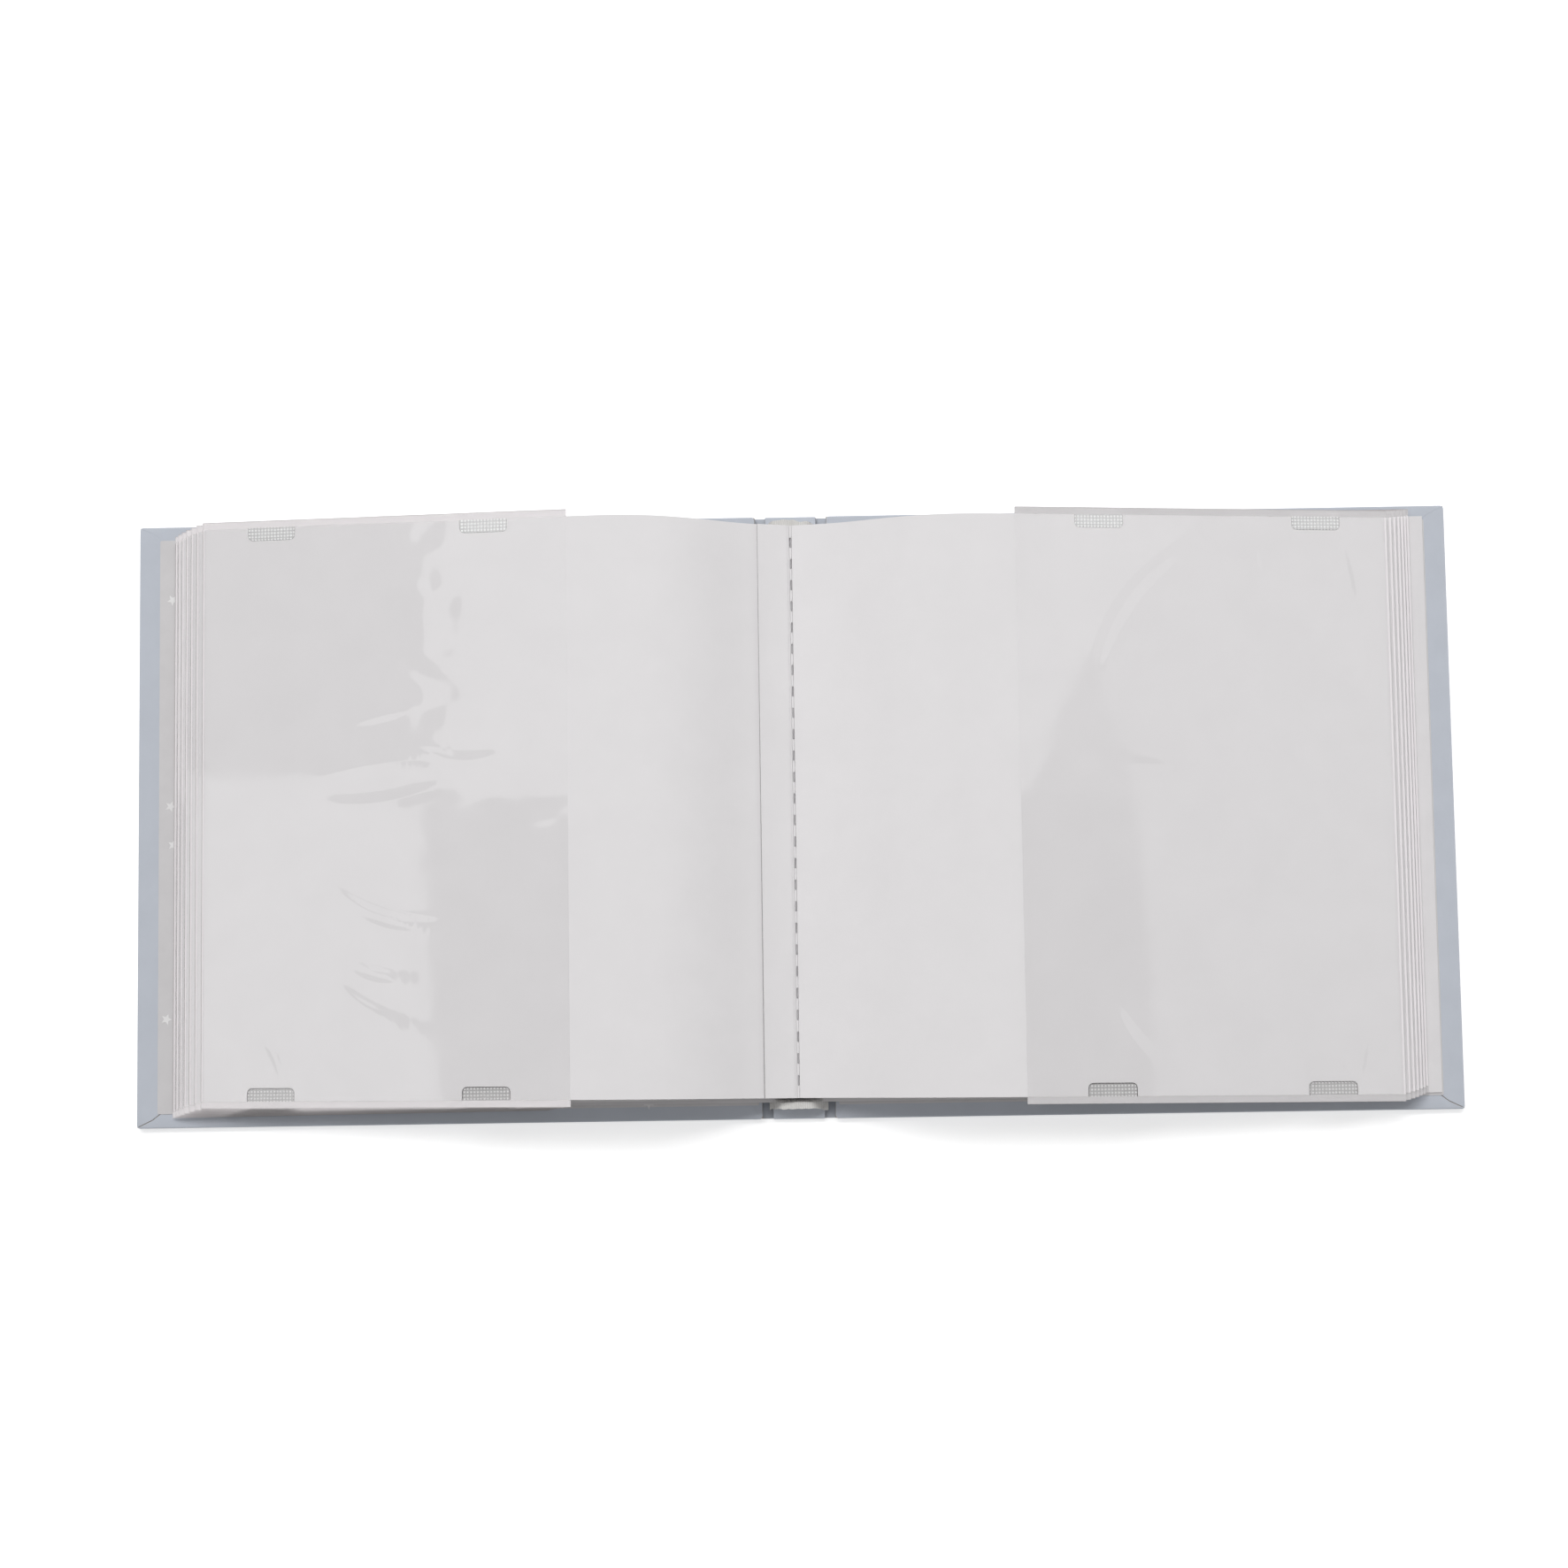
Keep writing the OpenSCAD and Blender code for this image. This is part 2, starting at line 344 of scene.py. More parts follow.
@dataclass(frozen=True)
class Paper(Finish):
    """Paper made from felted fibres: matt, with a fine tooth and faint clouds where fibres gather."""

    cloud: str
    roughness: float
    tooth_mm: float
    tooth: float
    cloud_mm: float

    def shade(self, tree: NodeTree) -> Node:
        """Draws clouds of fibres, short flecks and the tooth.

        Args:
            tree: The material's node tree.

        Returns:
            The shader node.
        """
        where = add_node(tree, "ShaderNodeTexCoord").outputs["Object"]
        clouds = add_node(tree, "ShaderNodeTexNoise", {
            "Vector": where, "Scale": per_mm(self.cloud_mm), "Detail": 5.0, "Roughness": 0.6})
        share = add_node(tree, "ShaderNodeMapRange", {0: clouds, 1: 0.35, 2: 0.65})
        colour = add_node(tree, "ShaderNodeMix", {
            0: share, 6: linear(self.colour), 7: linear(self.cloud)}, data_type="RGBA")
        fibres = add_node(tree, "ShaderNodeTexNoise", {
            "Vector": where, "Scale": per_mm(self.tooth_mm), "Detail": 3.0, "Distortion": 0.6})
        shine = add_node(tree, "ShaderNodeMapRange", {
            0: fibres, 1: 0.3, 2: 0.7, 3: self.roughness - 0.06, 4: self.roughness + 0.06})
        bump = add_node(tree, "ShaderNodeBump", {
            "Height": fibres, "Strength": self.tooth, "Distance": self.tooth_mm * MM * 0.12})
        return add_node(tree, "ShaderNodeBsdfPrincipled", {
            "Base Color": colour.outputs[2], "Roughness": shine, "Specular IOR Level": 0.25,
            "Normal": bump})


@dataclass(frozen=True)
class ClearFilm(Finish):
    """Cast polypropylene film: clear, with a hard gloss that mirrors the room and a breath of haze."""

    gloss: float
    ripple_mm: float
    haze: float
    milk: str

    def shade(self, tree: NodeTree) -> Node:
        """Mixes clear film, mirror gloss by the angle of sight, and haze that casts no shadow.

        Args:
            tree: The material's node tree.

        Returns:
            The shader node.
        """
        where = add_node(tree, "ShaderNodeTexCoord").outputs["Object"]
        ripple = add_node(tree, "ShaderNodeTexNoise", {
            "Vector": where, "Scale": per_mm(self.ripple_mm), "Detail": 1.0})
        bump = add_node(tree, "ShaderNodeBump", {"Height": ripple, "Strength": 0.3, "Distance": 0.008 * MM})
        facing = add_node(tree, "ShaderNodeLayerWeight", {"Blend": 0.5}).outputs["Facing"]
        steep = add_node(tree, "ShaderNodeMath", {0: facing, 1: 5.0}, operation="POWER")
        mirror = add_node(tree, "ShaderNodeMath", {0: steep, 1: 0.9, 2: 0.04}, operation="MULTIPLY_ADD")
        clear = add_node(tree, "ShaderNodeBsdfTransparent", {"Color": linear(self.colour)})
        glossy = add_node(tree, "ShaderNodeBsdfAnisotropic", {
            "Color": (1.0, 1.0, 1.0, 1.0), "Roughness": self.gloss, "Normal": bump})
        film = add_node(tree, "ShaderNodeMixShader", {0: mirror, 1: clear, 2: glossy})
        milk = add_node(tree, "ShaderNodeBsdfDiffuse", {"Color": linear(self.milk)})
        shadow = add_node(tree, "ShaderNodeLightPath").outputs["Is Shadow Ray"]
        share = add_node(tree, "ShaderNodeMapRange", {0: shadow, 3: self.haze, 4: 0.0})
        return add_node(tree, "ShaderNodeMixShader", {0: share, 1: film, 2: milk})


@dataclass(frozen=True)
class FrostedFilm(Finish):
    """Film that was cut or folded: whitened, half clear and dull, a little unevenly along its edge."""

    opacity: float
    mark_mm: float
    contrast: float = 0.2

    def marks(self, tree: NodeTree) -> Node:
        """Draws how the whitening comes and goes along an edge."""
        where = add_node(tree, "ShaderNodeTexCoord").outputs["Object"]
        return add_node(tree, "ShaderNodeTexNoise", {
            "Vector": where, "Scale": per_mm(self.mark_mm), "Detail": 2.0})

    def shade(self, tree: NodeTree) -> Node:
        """Draws the marks in a half clear white.

        Args:
            tree: The material's node tree.

        Returns:
            The shader node.
        """
        marks = self.marks(tree)
        bump = add_node(tree, "ShaderNodeBump", {"Height": marks, "Strength": 0.5, "Distance": 0.04 * MM})
        surface = add_node(tree, "ShaderNodeBsdfPrincipled", {
            "Base Color": linear(self.colour), "Roughness": 0.4, "Normal": bump})
        clear = add_node(tree, "ShaderNodeBsdfTransparent")
        share = add_node(tree, "ShaderNodeMapRange", {
            0: marks, 3: self.opacity * (1 - self.contrast), 4: self.opacity * (1 + self.contrast)})
        return add_node(tree, "ShaderNodeMixShader", {0: share, 1: clear, 2: surface})


@dataclass(frozen=True)
class KnurledFilm(FrostedFilm):
    """Film pressed between knurled jaws, which leave a fine grid of whitened dots."""

    def marks(self, tree: NodeTree) -> Node:
        """Draws the crossed ribs of the knurl."""
        where = add_node(tree, "ShaderNodeTexCoord").outputs["Object"]
        ribs = []
        for turn in (0.0, 90.0):
            turned = add_node(tree, "ShaderNodeMapping", {
                "Vector": where, "Rotation": (0.0, 0.0, math.radians(turn))})
            wave = add_node(tree, "ShaderNodeTexWave", {
                "Vector": turned, "Scale": wave_per_mm(self.mark_mm), "Distortion": 0.6})
            ribs.append(wave.outputs[1])
        return add_node(tree, "ShaderNodeMath", {0: ribs[0], 1: ribs[1]}, operation="MULTIPLY")


@dataclass(frozen=True)
class SoftCloth(Finish):
    """Brushed cotton tape or spun thread: a dull nap over close threads, with painted shade in the low parts
    between them.
    """

    shadow: str
    thread_mm: float
    angle_deg: float

    def shade(self, tree: NodeTree) -> Node:
        """Draws the threads and the nap on them, with the shadow colour painted into their low parts as painted
        shade.

        Args:
            tree: The material's node tree.

        Returns:
            The shader node.
        """
        where = add_node(tree, "ShaderNodeTexCoord").outputs["Object"]
        turned = add_node(tree, "ShaderNodeMapping", {
            "Vector": where, "Rotation": (0.0, 0.0, math.radians(self.angle_deg))})
        threads = add_node(tree, "ShaderNodeTexWave", {
            "Vector": turned, "Scale": wave_per_mm(self.thread_mm), "Distortion": 2.5,
            "Detail": 2.0, "Detail Scale": 1.5})
        nap = add_node(tree, "ShaderNodeTexNoise", {
            "Vector": where, "Scale": per_mm(self.thread_mm * 0.6), "Detail": 4.0})
        relief = add_node(tree, "ShaderNodeMath", {0: threads.outputs[1], 1: nap}, operation="ADD")
        share = add_node(tree, "ShaderNodeMapRange", {0: relief, 1: 0.4, 2: 1.5})
        colour = add_node(tree, "ShaderNodeMix", {
            0: share, 6: linear(self.shadow), 7: linear(self.colour)}, data_type="RGBA")
        bump = add_node(tree, "ShaderNodeBump", {
            "Height": relief, "Strength": 0.5, "Distance": self.thread_mm * MM * 0.2})
        return add_node(tree, "ShaderNodeBsdfPrincipled", {
            "Base Color": colour.outputs[2], "Roughness": 0.9, "Specular IOR Level": 0.15,
            "Sheen Weight": 0.25, "Normal": bump})


# Matt art paper printed pale blue, pasted over board: even colour, a very fine tooth and little shine.
# The real tooth is finer than a pixel, so it is drawn at 0.5 mm to show.
COVERING = Paper("covering_paper_pale_blue", "#C4C9D2", "#C1C6CF", 0.62, 0.5, 0.35, 9.0)
# Uncoated white card of the leaves: soft white, clouded where the fibres lie thicker.
LEAF = Paper("leaf_card_white", "#ECEAEB", "#EAE8E9", 0.78, 0.45, 0.3, 14.0)
# Unprinted face of the endpaper: the same uncoated white, a shade greyer.
FLYLEAF = Paper("flyleaf_paper_white", "#E4E2E3", "#E1DFE0", 0.8, 0.4, 0.3, 9.0)
# Grey printed endpaper: dull ink on uncoated paper.
ENDPAPER = Paper("endpaper_grey_print", "#D4D2D3", "#D0CECF", 0.8, 0.4, 0.3, 7.0)
# White of the unprinted stars in the grey.
STAR = Paper("endpaper_star_white", "#ECEBEB", "#E6E5E5", 0.8, 0.4, 0.3, 5.0)
# Grey board of the covers: coarse recycled pulp with long clouds.
BOARD = Paper("grey_board", "#A7A19A", "#968F87", 0.9, 0.9, 0.6, 4.0)
# Cast polypropylene film: the paper shows through unchanged, and each face mirrors 4% of the room.
FILM = ClearFilm("polypropylene_film", "#FFFFFF", 0.04, 6.0, 0.006, "#EEEBEC")
# Loose rim of the film past the paper, warped by the heat of the welds: whitish where layers lie together.
# On the back half the rim's milk is painted greyer, as painted shade that stands for the dark case in shadow below
# it; both halves are equally hazy.
RIMS = {
    Side.FRONT: ClearFilm("film_loose_rim_white", "#FFFFFF", 0.15, 6.0, 0.6, "#EAE7E8"),
    Side.BACK: ClearFilm("film_loose_rim_grey", "#FFFFFF", 0.15, 6.0, 0.6, "#D9D7D8"),
}
# Cut edge of the film: light that runs in the sheet leaves it there, so the edge is a fine pale line.
# The same grey paints the outer side of the front half's fore-edge fold, as painted shade where the fold turns
# down away from the light.
FILM_EDGE_AND_FOLD_SHADE = FrostedFilm("film_cut_edge", "#C8C3C4", 0.75, 9.0)
# Hard fold of the film round the fore-edge: stretched and whitened, faintly rosy against the paper.
FILM_FOLD = FrostedFilm("film_fold_whitened", "#FAF6F8", 0.92, 14.0, 0.08)
# Film welded to itself between knurled jaws: dull, half clear, with a fine grid pressed in it.
# The head welds are painted whiter and more opaque, and the tail welds greyer and clearer: painted light at the
# head and painted shade at the tail, as the light falls from the head side.
WELDS = {
    End.HEAD: KnurledFilm("film_weld_white", "#FFFFFF", 0.85, 0.95, 0.5),
    End.TAIL: KnurledFilm("film_weld_grey", "#F4F3F3", 0.6, 0.95, 0.5),
}
# Cut edge of a paper strip, painted grey: painted shade for the thin dark line beside the strip's lifted free
# edge.
PAPER_EDGE_SHADE = Paper("paper_cut_edge", "#AEACAD", "#A4A2A3", 0.9, 0.3, 0.3, 3.0)
# Brushed cotton tape: soft white nap over close threads, drawn at their real 0.5 mm, with painted shade between
# them.
LINING = SoftCloth("cotton_lining", "#E4E3E1", "#D0CECA", 0.5, 0.0)
# Spun cotton thread, light grey: its slanting twist bands are painted darker in their low parts, as painted shade.
THREAD = SoftCloth("sewing_thread_grey", "#D0CED0", "#C4C2C4", 0.3, 30.0)


# Leaves and their sleeves


def joint_named(name: str) -> dict:
    """Gives the frame's joint of that name."""
    return next(j for j in frame["joints"] if j["name"] == name)


def turn_of(name: str) -> float:
    """Gives the whole turn of a coupled joint in radians, when its cover is closed."""
    pair = next(c for c in frame["record"]["behaviour"]["couplings"] if c["joint"] == name)
    return math.radians(pair["ratio"] * CLOSED_DEG)


@dataclass
class LeafForm:
    """The curve of one open leaf: straight when closed, arched at rest by the turn of its bend line.

    Points of a leaf are given flat: u from the fold, y along the fold, n above the middle of the paper.
    """

    side: Side
    number: int
    top_skew: float = 0.0085
    top_lift: float = 1.0 * MM
    straighter: float = 0.27
    lower: float = 0.03 * MM
    bend_from: float = 10.0 * MM
    bend_to: float = 4.0 * MM
    shares: dict[float, float] = field(default_factory=dict)

    def __post_init__(self) -> None:
        """Reads the leaf's joints and works out its two straight lines and its slant in the stack."""
        self.skew = self.top_skew * (1 - self.straighter * (self.number - 1))
        self.lift_y = self.top_lift - self.lower * (self.number - 1)
        fold = Vector(joint_named(f"{self.side.value}_fold_{self.number}")["pos_m"])
        bend = Vector(joint_named(f"{self.side.value}_bend_{self.number}")["pos_m"])
        self.fold = Vector((abs(fold.x), fold.z))
        self.bend = Vector((abs(bend.x), bend.z))
        self.turn = turn_of(f"{self.side.value}_bend_{self.number}")
        self.memo_w = (self.bend - self.fold).length
        self.up = (self.bend - self.fold).normalized()
        self.out = self.turned(self.up, -self.turn)
        self.start = self.fold + self.up * self.bend_from
        self.end = self.bend + self.out * self.bend_to

    @staticmethod
    def turned(v: Vector, angle: float) -> Vector:
        """Turns a vector of X and Z by an angle."""
        c, s = math.cos(angle), math.sin(angle)
        return Vector((v.x * c - v.y * s, v.x * s + v.y * c))

    def share(self, u: float) -> float:
        """Gives how much of the bend's turn a point takes, as the frame's blend does.

        Args:
            u: Distance from the fold.

        Returns:
            0 on the memo side, 1 on the pocket side.
        """
        key = round(u, 7)
        if key not in self.shares:
            chord, w = self.end - self.start, 0.5
            for _ in range(BEND_ROUNDS):
                p = self.bend + self.turned(self.up * (u - self.memo_w), -w * self.turn)
                t = min(1.0, max(0.0, (p - self.start).dot(chord) / chord.length_squared))
                w = t * t * (3 - 2 * t)
            self.shares[key] = w
        return self.shares[key]

    def place(self, p: Vector) -> Vector:
        """Gives the rest place of a flat point.

        Args:
            p: The flat point (u, y, n).

        Returns:
            The point in the frame.
        """
        normal = Vector((-self.up.y, self.up.x))
        flat = self.up * (p.x - self.memo_w) + normal * p.z
        spot = self.bend + self.turned(flat, -self.share(p.x) * self.turn)
        return Vector((self.side.sign * spot.x, p.y + self.lift_y - self.side.sign * self.skew * p.x, spot.y))

    def dress(self, bm: BMesh, name: str, finishes: Sequence[Finish], slot: str, *nodes: str) -> None:
        """Arches a flat mesh and makes it a piece in its rest place.

        Args:
            bm: The flat mesh in work.
            name: The piece's name.
            finishes: One finish for each material index.
            slot: Not used.
            nodes: The solids that it stands for.
        """
        settle(bm, self.place)
        bmesh.ops.recalc_face_normals(bm, faces=bm.faces)
        piece = make_piece(bm, name, finishes)
        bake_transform(piece)
        if nodes:
            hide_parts(*nodes)


@dataclass(frozen=True)
class Crease:
    """A soft crease in the film, as a bowed line on the flat leaf in millimetres.

    Its flank towards the tail is lean times as wide as the other.
    """

    start: tuple[float, float]
    middle: tuple[float, float]
    end: tuple[float, float]
    width: float
    height: float
    lean: float = 1.0

    def rise(self, u: float, y: float) -> float:
        """Gives the crease's height at a point.

        Args:
            u: Distance from the fold in millimetres.
            y: Distance along the fold in millimetres.

        Returns:
            Height in millimetres.
        """
        corners = (self.start, self.middle, self.end)
        for at, along in zip((u, y), zip(*corners)):
            if not min(along) - 3 * self.width * self.lean < at < max(along) + 3 * self.width:
                return 0.0
        best, where, wide = math.inf, 0.0, self.width
        for k in range(CREASE_STEPS + 1):
            t = k / CREASE_STEPS
            px, py = ((1 - t) ** 2 * a + 2 * t * (1 - t) * b + t * t * c for a, b, c in zip(*corners))
            gap = (u - px) ** 2 + (y - py) ** 2
            if gap < best:
                best, where, wide = gap, t, self.width * (self.lean if y < py else 1.0)
        return self.height * math.exp(-best / wide ** 2) * math.sin(math.pi * (0.06 + 0.88 * where))


@dataclass(frozen=True)
class Slack:
    """A spot where the film lies loose and ripples, on the flat leaf in millimetres."""

    middle: tuple[float, float]
    size: tuple[float, float]
    height: float

    def share(self, u: float, y: float) -> float:
        """Gives how high the film ripples at a point.

        Args:
            u: Distance from the fold in millimetres.
            y: Distance along the fold in millimetres.

        Returns:
            Height in millimetres.
        """
        across, along = (u - self.middle[0]) / self.size[0], (y - self.middle[1]) / self.size[1]
        return self.height * math.exp(-across ** 2 - along ** 2)


@dataclass
class Sleeves:
    """Paper leaves with their welded film sleeves on one side of the middle fold."""

    side: Side
    count: int = 7
    paper_t: float = 0.3 * MM
    pocket_w: float = 112.0 * MM
    sleeve_w: float = 107.5 * MM
    film_t: float = 0.08 * MM
    film_mid: float = 0.29 * MM
    notch_w: float = 14.0 * MM
    notch_d: float = 3.8 * MM
    notch_r: float = 1.4 * MM
    notch_from_fore: float = 20.3 * MM
    notch_from_inner: float = 24.2 * MM
    weld_clear: dict[End, float] = field(
        default_factory=lambda: {End.HEAD: 0.12 * MM, End.TAIL: 0.25 * MM})
    weld_t: float = 0.3 * MM
    knurl: float = 0.95 * MM
    knurl_h: float = 0.04 * MM
    stub_w: float = 9.0 * MM
    stub_t: float = 0.2 * MM
    stub_from: float = 0.5 * MM
    stub_over: float = 0.3 * MM
    stub_lift: float = 0.42 * MM
    stub_lean: float = 0.2 * MM
    past_fold: float = 0.12 * MM
    edge_w: float = 0.12 * MM
    fold_bulge: float = 1.7
    # From this far past the fore-edge the film's fold takes the cut edge's grey as painted shade; the back half's
    # fold never reaches so far.
    fold_shade: dict[Side, float] = field(
        default_factory=lambda: {Side.FRONT: 0.38 * MM, Side.BACK: 1.0 * MM})
    # Faces of a film on its upper side, round the fore-edge, on its under side, and along the fold.
    fine_grid: tuple[int, int, int, int] = (140, 6, 18, 220)
    plain_grid: tuple[int, int, int, int] = (30, 6, 18, 18)
    # Waves of the film in millimetres: length across and along the leaf, and height.
    calm_mm: tuple[float, float, float] = (34.0, 46.0, 0.03)
    loose_mm: tuple[float, float, float] = (8.0, 6.5, 0.005)
    # How far the film may stand below and above its even place, between its neighbours.
    room_mm: tuple[float, float] = (-0.06, 0.27)
    slacks: tuple[Slack, ...] = ()
    creases: tuple[Crease, ...] = ()

    def __post_init__(self) -> None:
        """Takes the heights of paper and film from the frame."""
        low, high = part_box(f"{self.side.value}_memo_1")
        self.leaf_h = high.y - low.y
        low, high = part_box(f"{self.side.value}_sleeve_1")
        self.sleeve_h = high.y - low.y

    def notch_middles(self, leaf_w: float) -> tuple[float, float]:
        """Gives the distances of the two weld notches from the fold."""
        return leaf_w - self.sleeve_w + self.notch_from_inner, leaf_w - self.notch_from_fore

    def notch(self, u: float, end: End) -> list[Vector]:
        """Gives the outline of one notch with its round inner corners.

        Args:
            u: Middle of the notch, from the fold.
            end: The end of the leaf that it is cut in.

        Returns:
            Corners, counter-clockwise.
        """
        deep, out = self.leaf_h / 2 - self.notch_d, self.leaf_h / 2 + 1.0 * MM
        half, r = self.notch_w / 2, self.notch_r
        corners = [Vector((u + half, out, 0.0)), Vector((u - half, out, 0.0))]
        for middle, first in ((u - half + r, 180), (u + half - r, 270)):
            for step in range(4):
                a = math.radians(first + step * 30)
                corners.append(Vector((middle + r * math.cos(a), deep + r + r * math.sin(a), 0.0)))
        if end is End.TAIL:
            corners = [Vector((c.x, -c.y, 0.0)) for c in reversed(corners)]
        return corners

    def ripple(self, number: int, u: float, y: float) -> float:
        """Gives how far the upper film stands off its even place: calm waves, loose ripples and creases.

        Args:
            number: Number of the leaf from the middle fold.
            u: Distance from the fold.
            y: Distance along the fold.

        Returns:
            Height in metres.
        """
        um, ym = u / MM, y / MM
        seed = 11.0 * number + (3.0 if self.side is Side.FRONT else 7.0)
        wide, long, high = self.calm_mm
        rise = high * noise.noise(Vector((um / wide, ym / long, seed)))
        if number == 1:
            wide, long, high = self.loose_mm
            loose = high + sum(s.share(um, ym) for s in self.slacks)
            rise += loose * noise.noise(Vector((um / wide, ym / long, seed + 5.0)))
            rise += sum(c.rise(um, ym) for c in self.creases)
        return max(self.room_mm[0], min(self.room_mm[1], rise)) * MM

    def leaf(self, form: LeafForm) -> None:
        """Makes the paper of one leaf with its four notches.

        Args:
            form: The leaf's curve.
        """
        width = form.memo_w + self.pocket_w
        bm = flat_sheet(width + self.past_fold, self.leaf_h, 46, 12)
        bmesh.ops.translate(bm, vec=(-self.past_fold, 0.0, 0.0), verts=bm.verts)
        for u in self.notch_middles(width):
            for end in End:
                cut_outline(bm, self.notch(u, end))
        thicken(bm, self.paper_t)
        nodes = [f"{self.side.value}_{part}_{form.number}" for part in ("memo", "pocket")]
        form.dress(bm, f"{self.side.value}_leaf_{form.number}", [LEAF], "leaf_paper", *nodes)

    def film(self, form: LeafForm) -> None:
        """Makes the film that is folded round the fore-edge of one leaf.

        Args:
            form: The leaf's curve.
        """
        top, turn, under, rows = self.fine_grid if form.number == 1 else self.plain_grid
        columns = top + turn + under
        bm = flat_sheet(columns, rows, columns, rows)
        thicken(bm, self.film_t)
        fore = form.memo_w + self.pocket_w
        inner = fore - self.sleeve_w
        over = (self.sleeve_h - self.leaf_h) / 2

        def folded(p: Vector) -> Vector:
            """Wraps a point of the flat film, in grid lines, round the fore-edge."""
            y = spread(p.y + rows / 2, rows, self.sleeve_h, self.edge_w, over - self.edge_w)
            y -= self.sleeve_h / 2
            out = self.film_mid + p.z
            if p.x <= top + SLIP:
                u = inner + spread(p.x, top, self.sleeve_w, self.edge_w)
                return Vector((u, y, out + self.ripple(form.number, u, y)))
            if p.x < top + turn - SLIP:
                a = math.pi * (p.x - top) / turn
                return Vector((fore + self.fold_bulge * out * math.sin(a), y, out * math.cos(a)))
            return Vector((fore - spread(p.x - top - turn, under, self.sleeve_w, self.edge_w), y, -out))

        settle(bm, folded)
        for face in bm.faces:
            middle = face.calc_center_median()
            if abs(middle.y) > self.sleeve_h / 2 - self.edge_w:
                face.material_index = 1
            elif abs(middle.y) > self.leaf_h / 2:
                face.material_index = 3
            # Painted shade: the fold's outer faces take the cut edge's grey.
            elif middle.x > fore + self.fold_shade[self.side]:
                face.material_index = 1
            elif middle.x > fore - self.edge_w:
                face.material_index = 2
        finishes = [FILM, FILM_EDGE_AND_FOLD_SHADE, FILM_FOLD, RIMS[self.side]]
        name, node = (f"{self.side.value}_{part}_{form.number}" for part in ("film", "sleeve"))
        form.dress(bm, name, finishes, "film", node)

    def welds(self, form: LeafForm) -> None:
        """Makes the four ribbed welds of one sleeve.

        Args:
            form: The leaf's curve.
        """
        grid = (64, 24) if form.number == 1 else (12, 5)
        whole = bmesh.new()
        for u in self.notch_middles(form.memo_w + self.pocket_w):
            for index, end in enumerate(End):
                clear = self.weld_clear[end]
                width = self.notch_w - 2 * clear
                depth = self.notch_d + (self.sleeve_h - self.leaf_h) / 2 - clear
                r = self.notch_r - clear
                pad = flat_sheet(width, depth, *grid)
                for vert in pad.verts:
                    across = math.sin(math.tau * vert.co.x / self.knurl)
                    high = self.knurl_h * across * math.sin(math.tau * vert.co.y / self.knurl)
                    x = min(max(vert.co.x, r), width - r)
                    y = end.value * max(end.value * vert.co.y, r - depth / 2)
                    past = Vector((vert.co.x - x, vert.co.y - y, 0.0))
                    past *= min(1.0, r / max(past.length, 1e-9))
                    vert.co = Vector((x + past.x, y + past.y, high))
                bmesh.ops.solidify(pad, geom=pad.faces[:], thickness=self.weld_t)
                # Each end takes its own weld finish: painted light at the head, painted shade at the tail.
                for face in pad.faces:
                    face.material_index = index
                shift = (u - width / 2, end.value * (self.sleeve_h - depth) / 2, self.weld_t / 2)
                bmesh.ops.translate(pad, vec=shift, verts=pad.verts)
                gather(whole, pad)
        form.dress(whole, f"{self.side.value}_welds_{form.number}", list(WELDS.values()), "film")

    def stub(self, form: LeafForm) -> None:
        """Makes the narrow half sheet that lies on the top leaf beside the stitching.

        Args:
            form: The top leaf's curve.
        """
        bm = flat_sheet(self.stub_w, self.leaf_h, 12, 24)
        # The cut edges take the grey paper edge, as painted shade.
        thicken(bm, self.stub_t, 1)

        def lifted(p: Vector) -> Vector:
            """Lets the strip's free edge stand off the leaf, with the slant of its cut."""
            along = p.x / self.stub_w
            lean = self.stub_lean * (0.8 - p.y / self.leaf_h) * along ** 60 if p.z < 0 else 0.0
            high = p.z + self.stub_over + self.stub_lift * along ** 3
            return Vector((p.x + lean + self.stub_from, p.y, high))

        settle(bm, lifted)
        form.dress(bm, "stub_strip", [LEAF, PAPER_EDGE_SHADE], "leaf_paper", "centre_stub")

    def build(self) -> None:
        """Builds all leaves, films and welds of this side."""
        for number in range(1, self.count + 1):
            form = LeafForm(self.side, number)
            self.leaf(form)
            self.film(form)
            self.welds(form)
            if number == 1 and self.side is Side.FRONT:
                self.stub(form)


# Sewn spine of the block


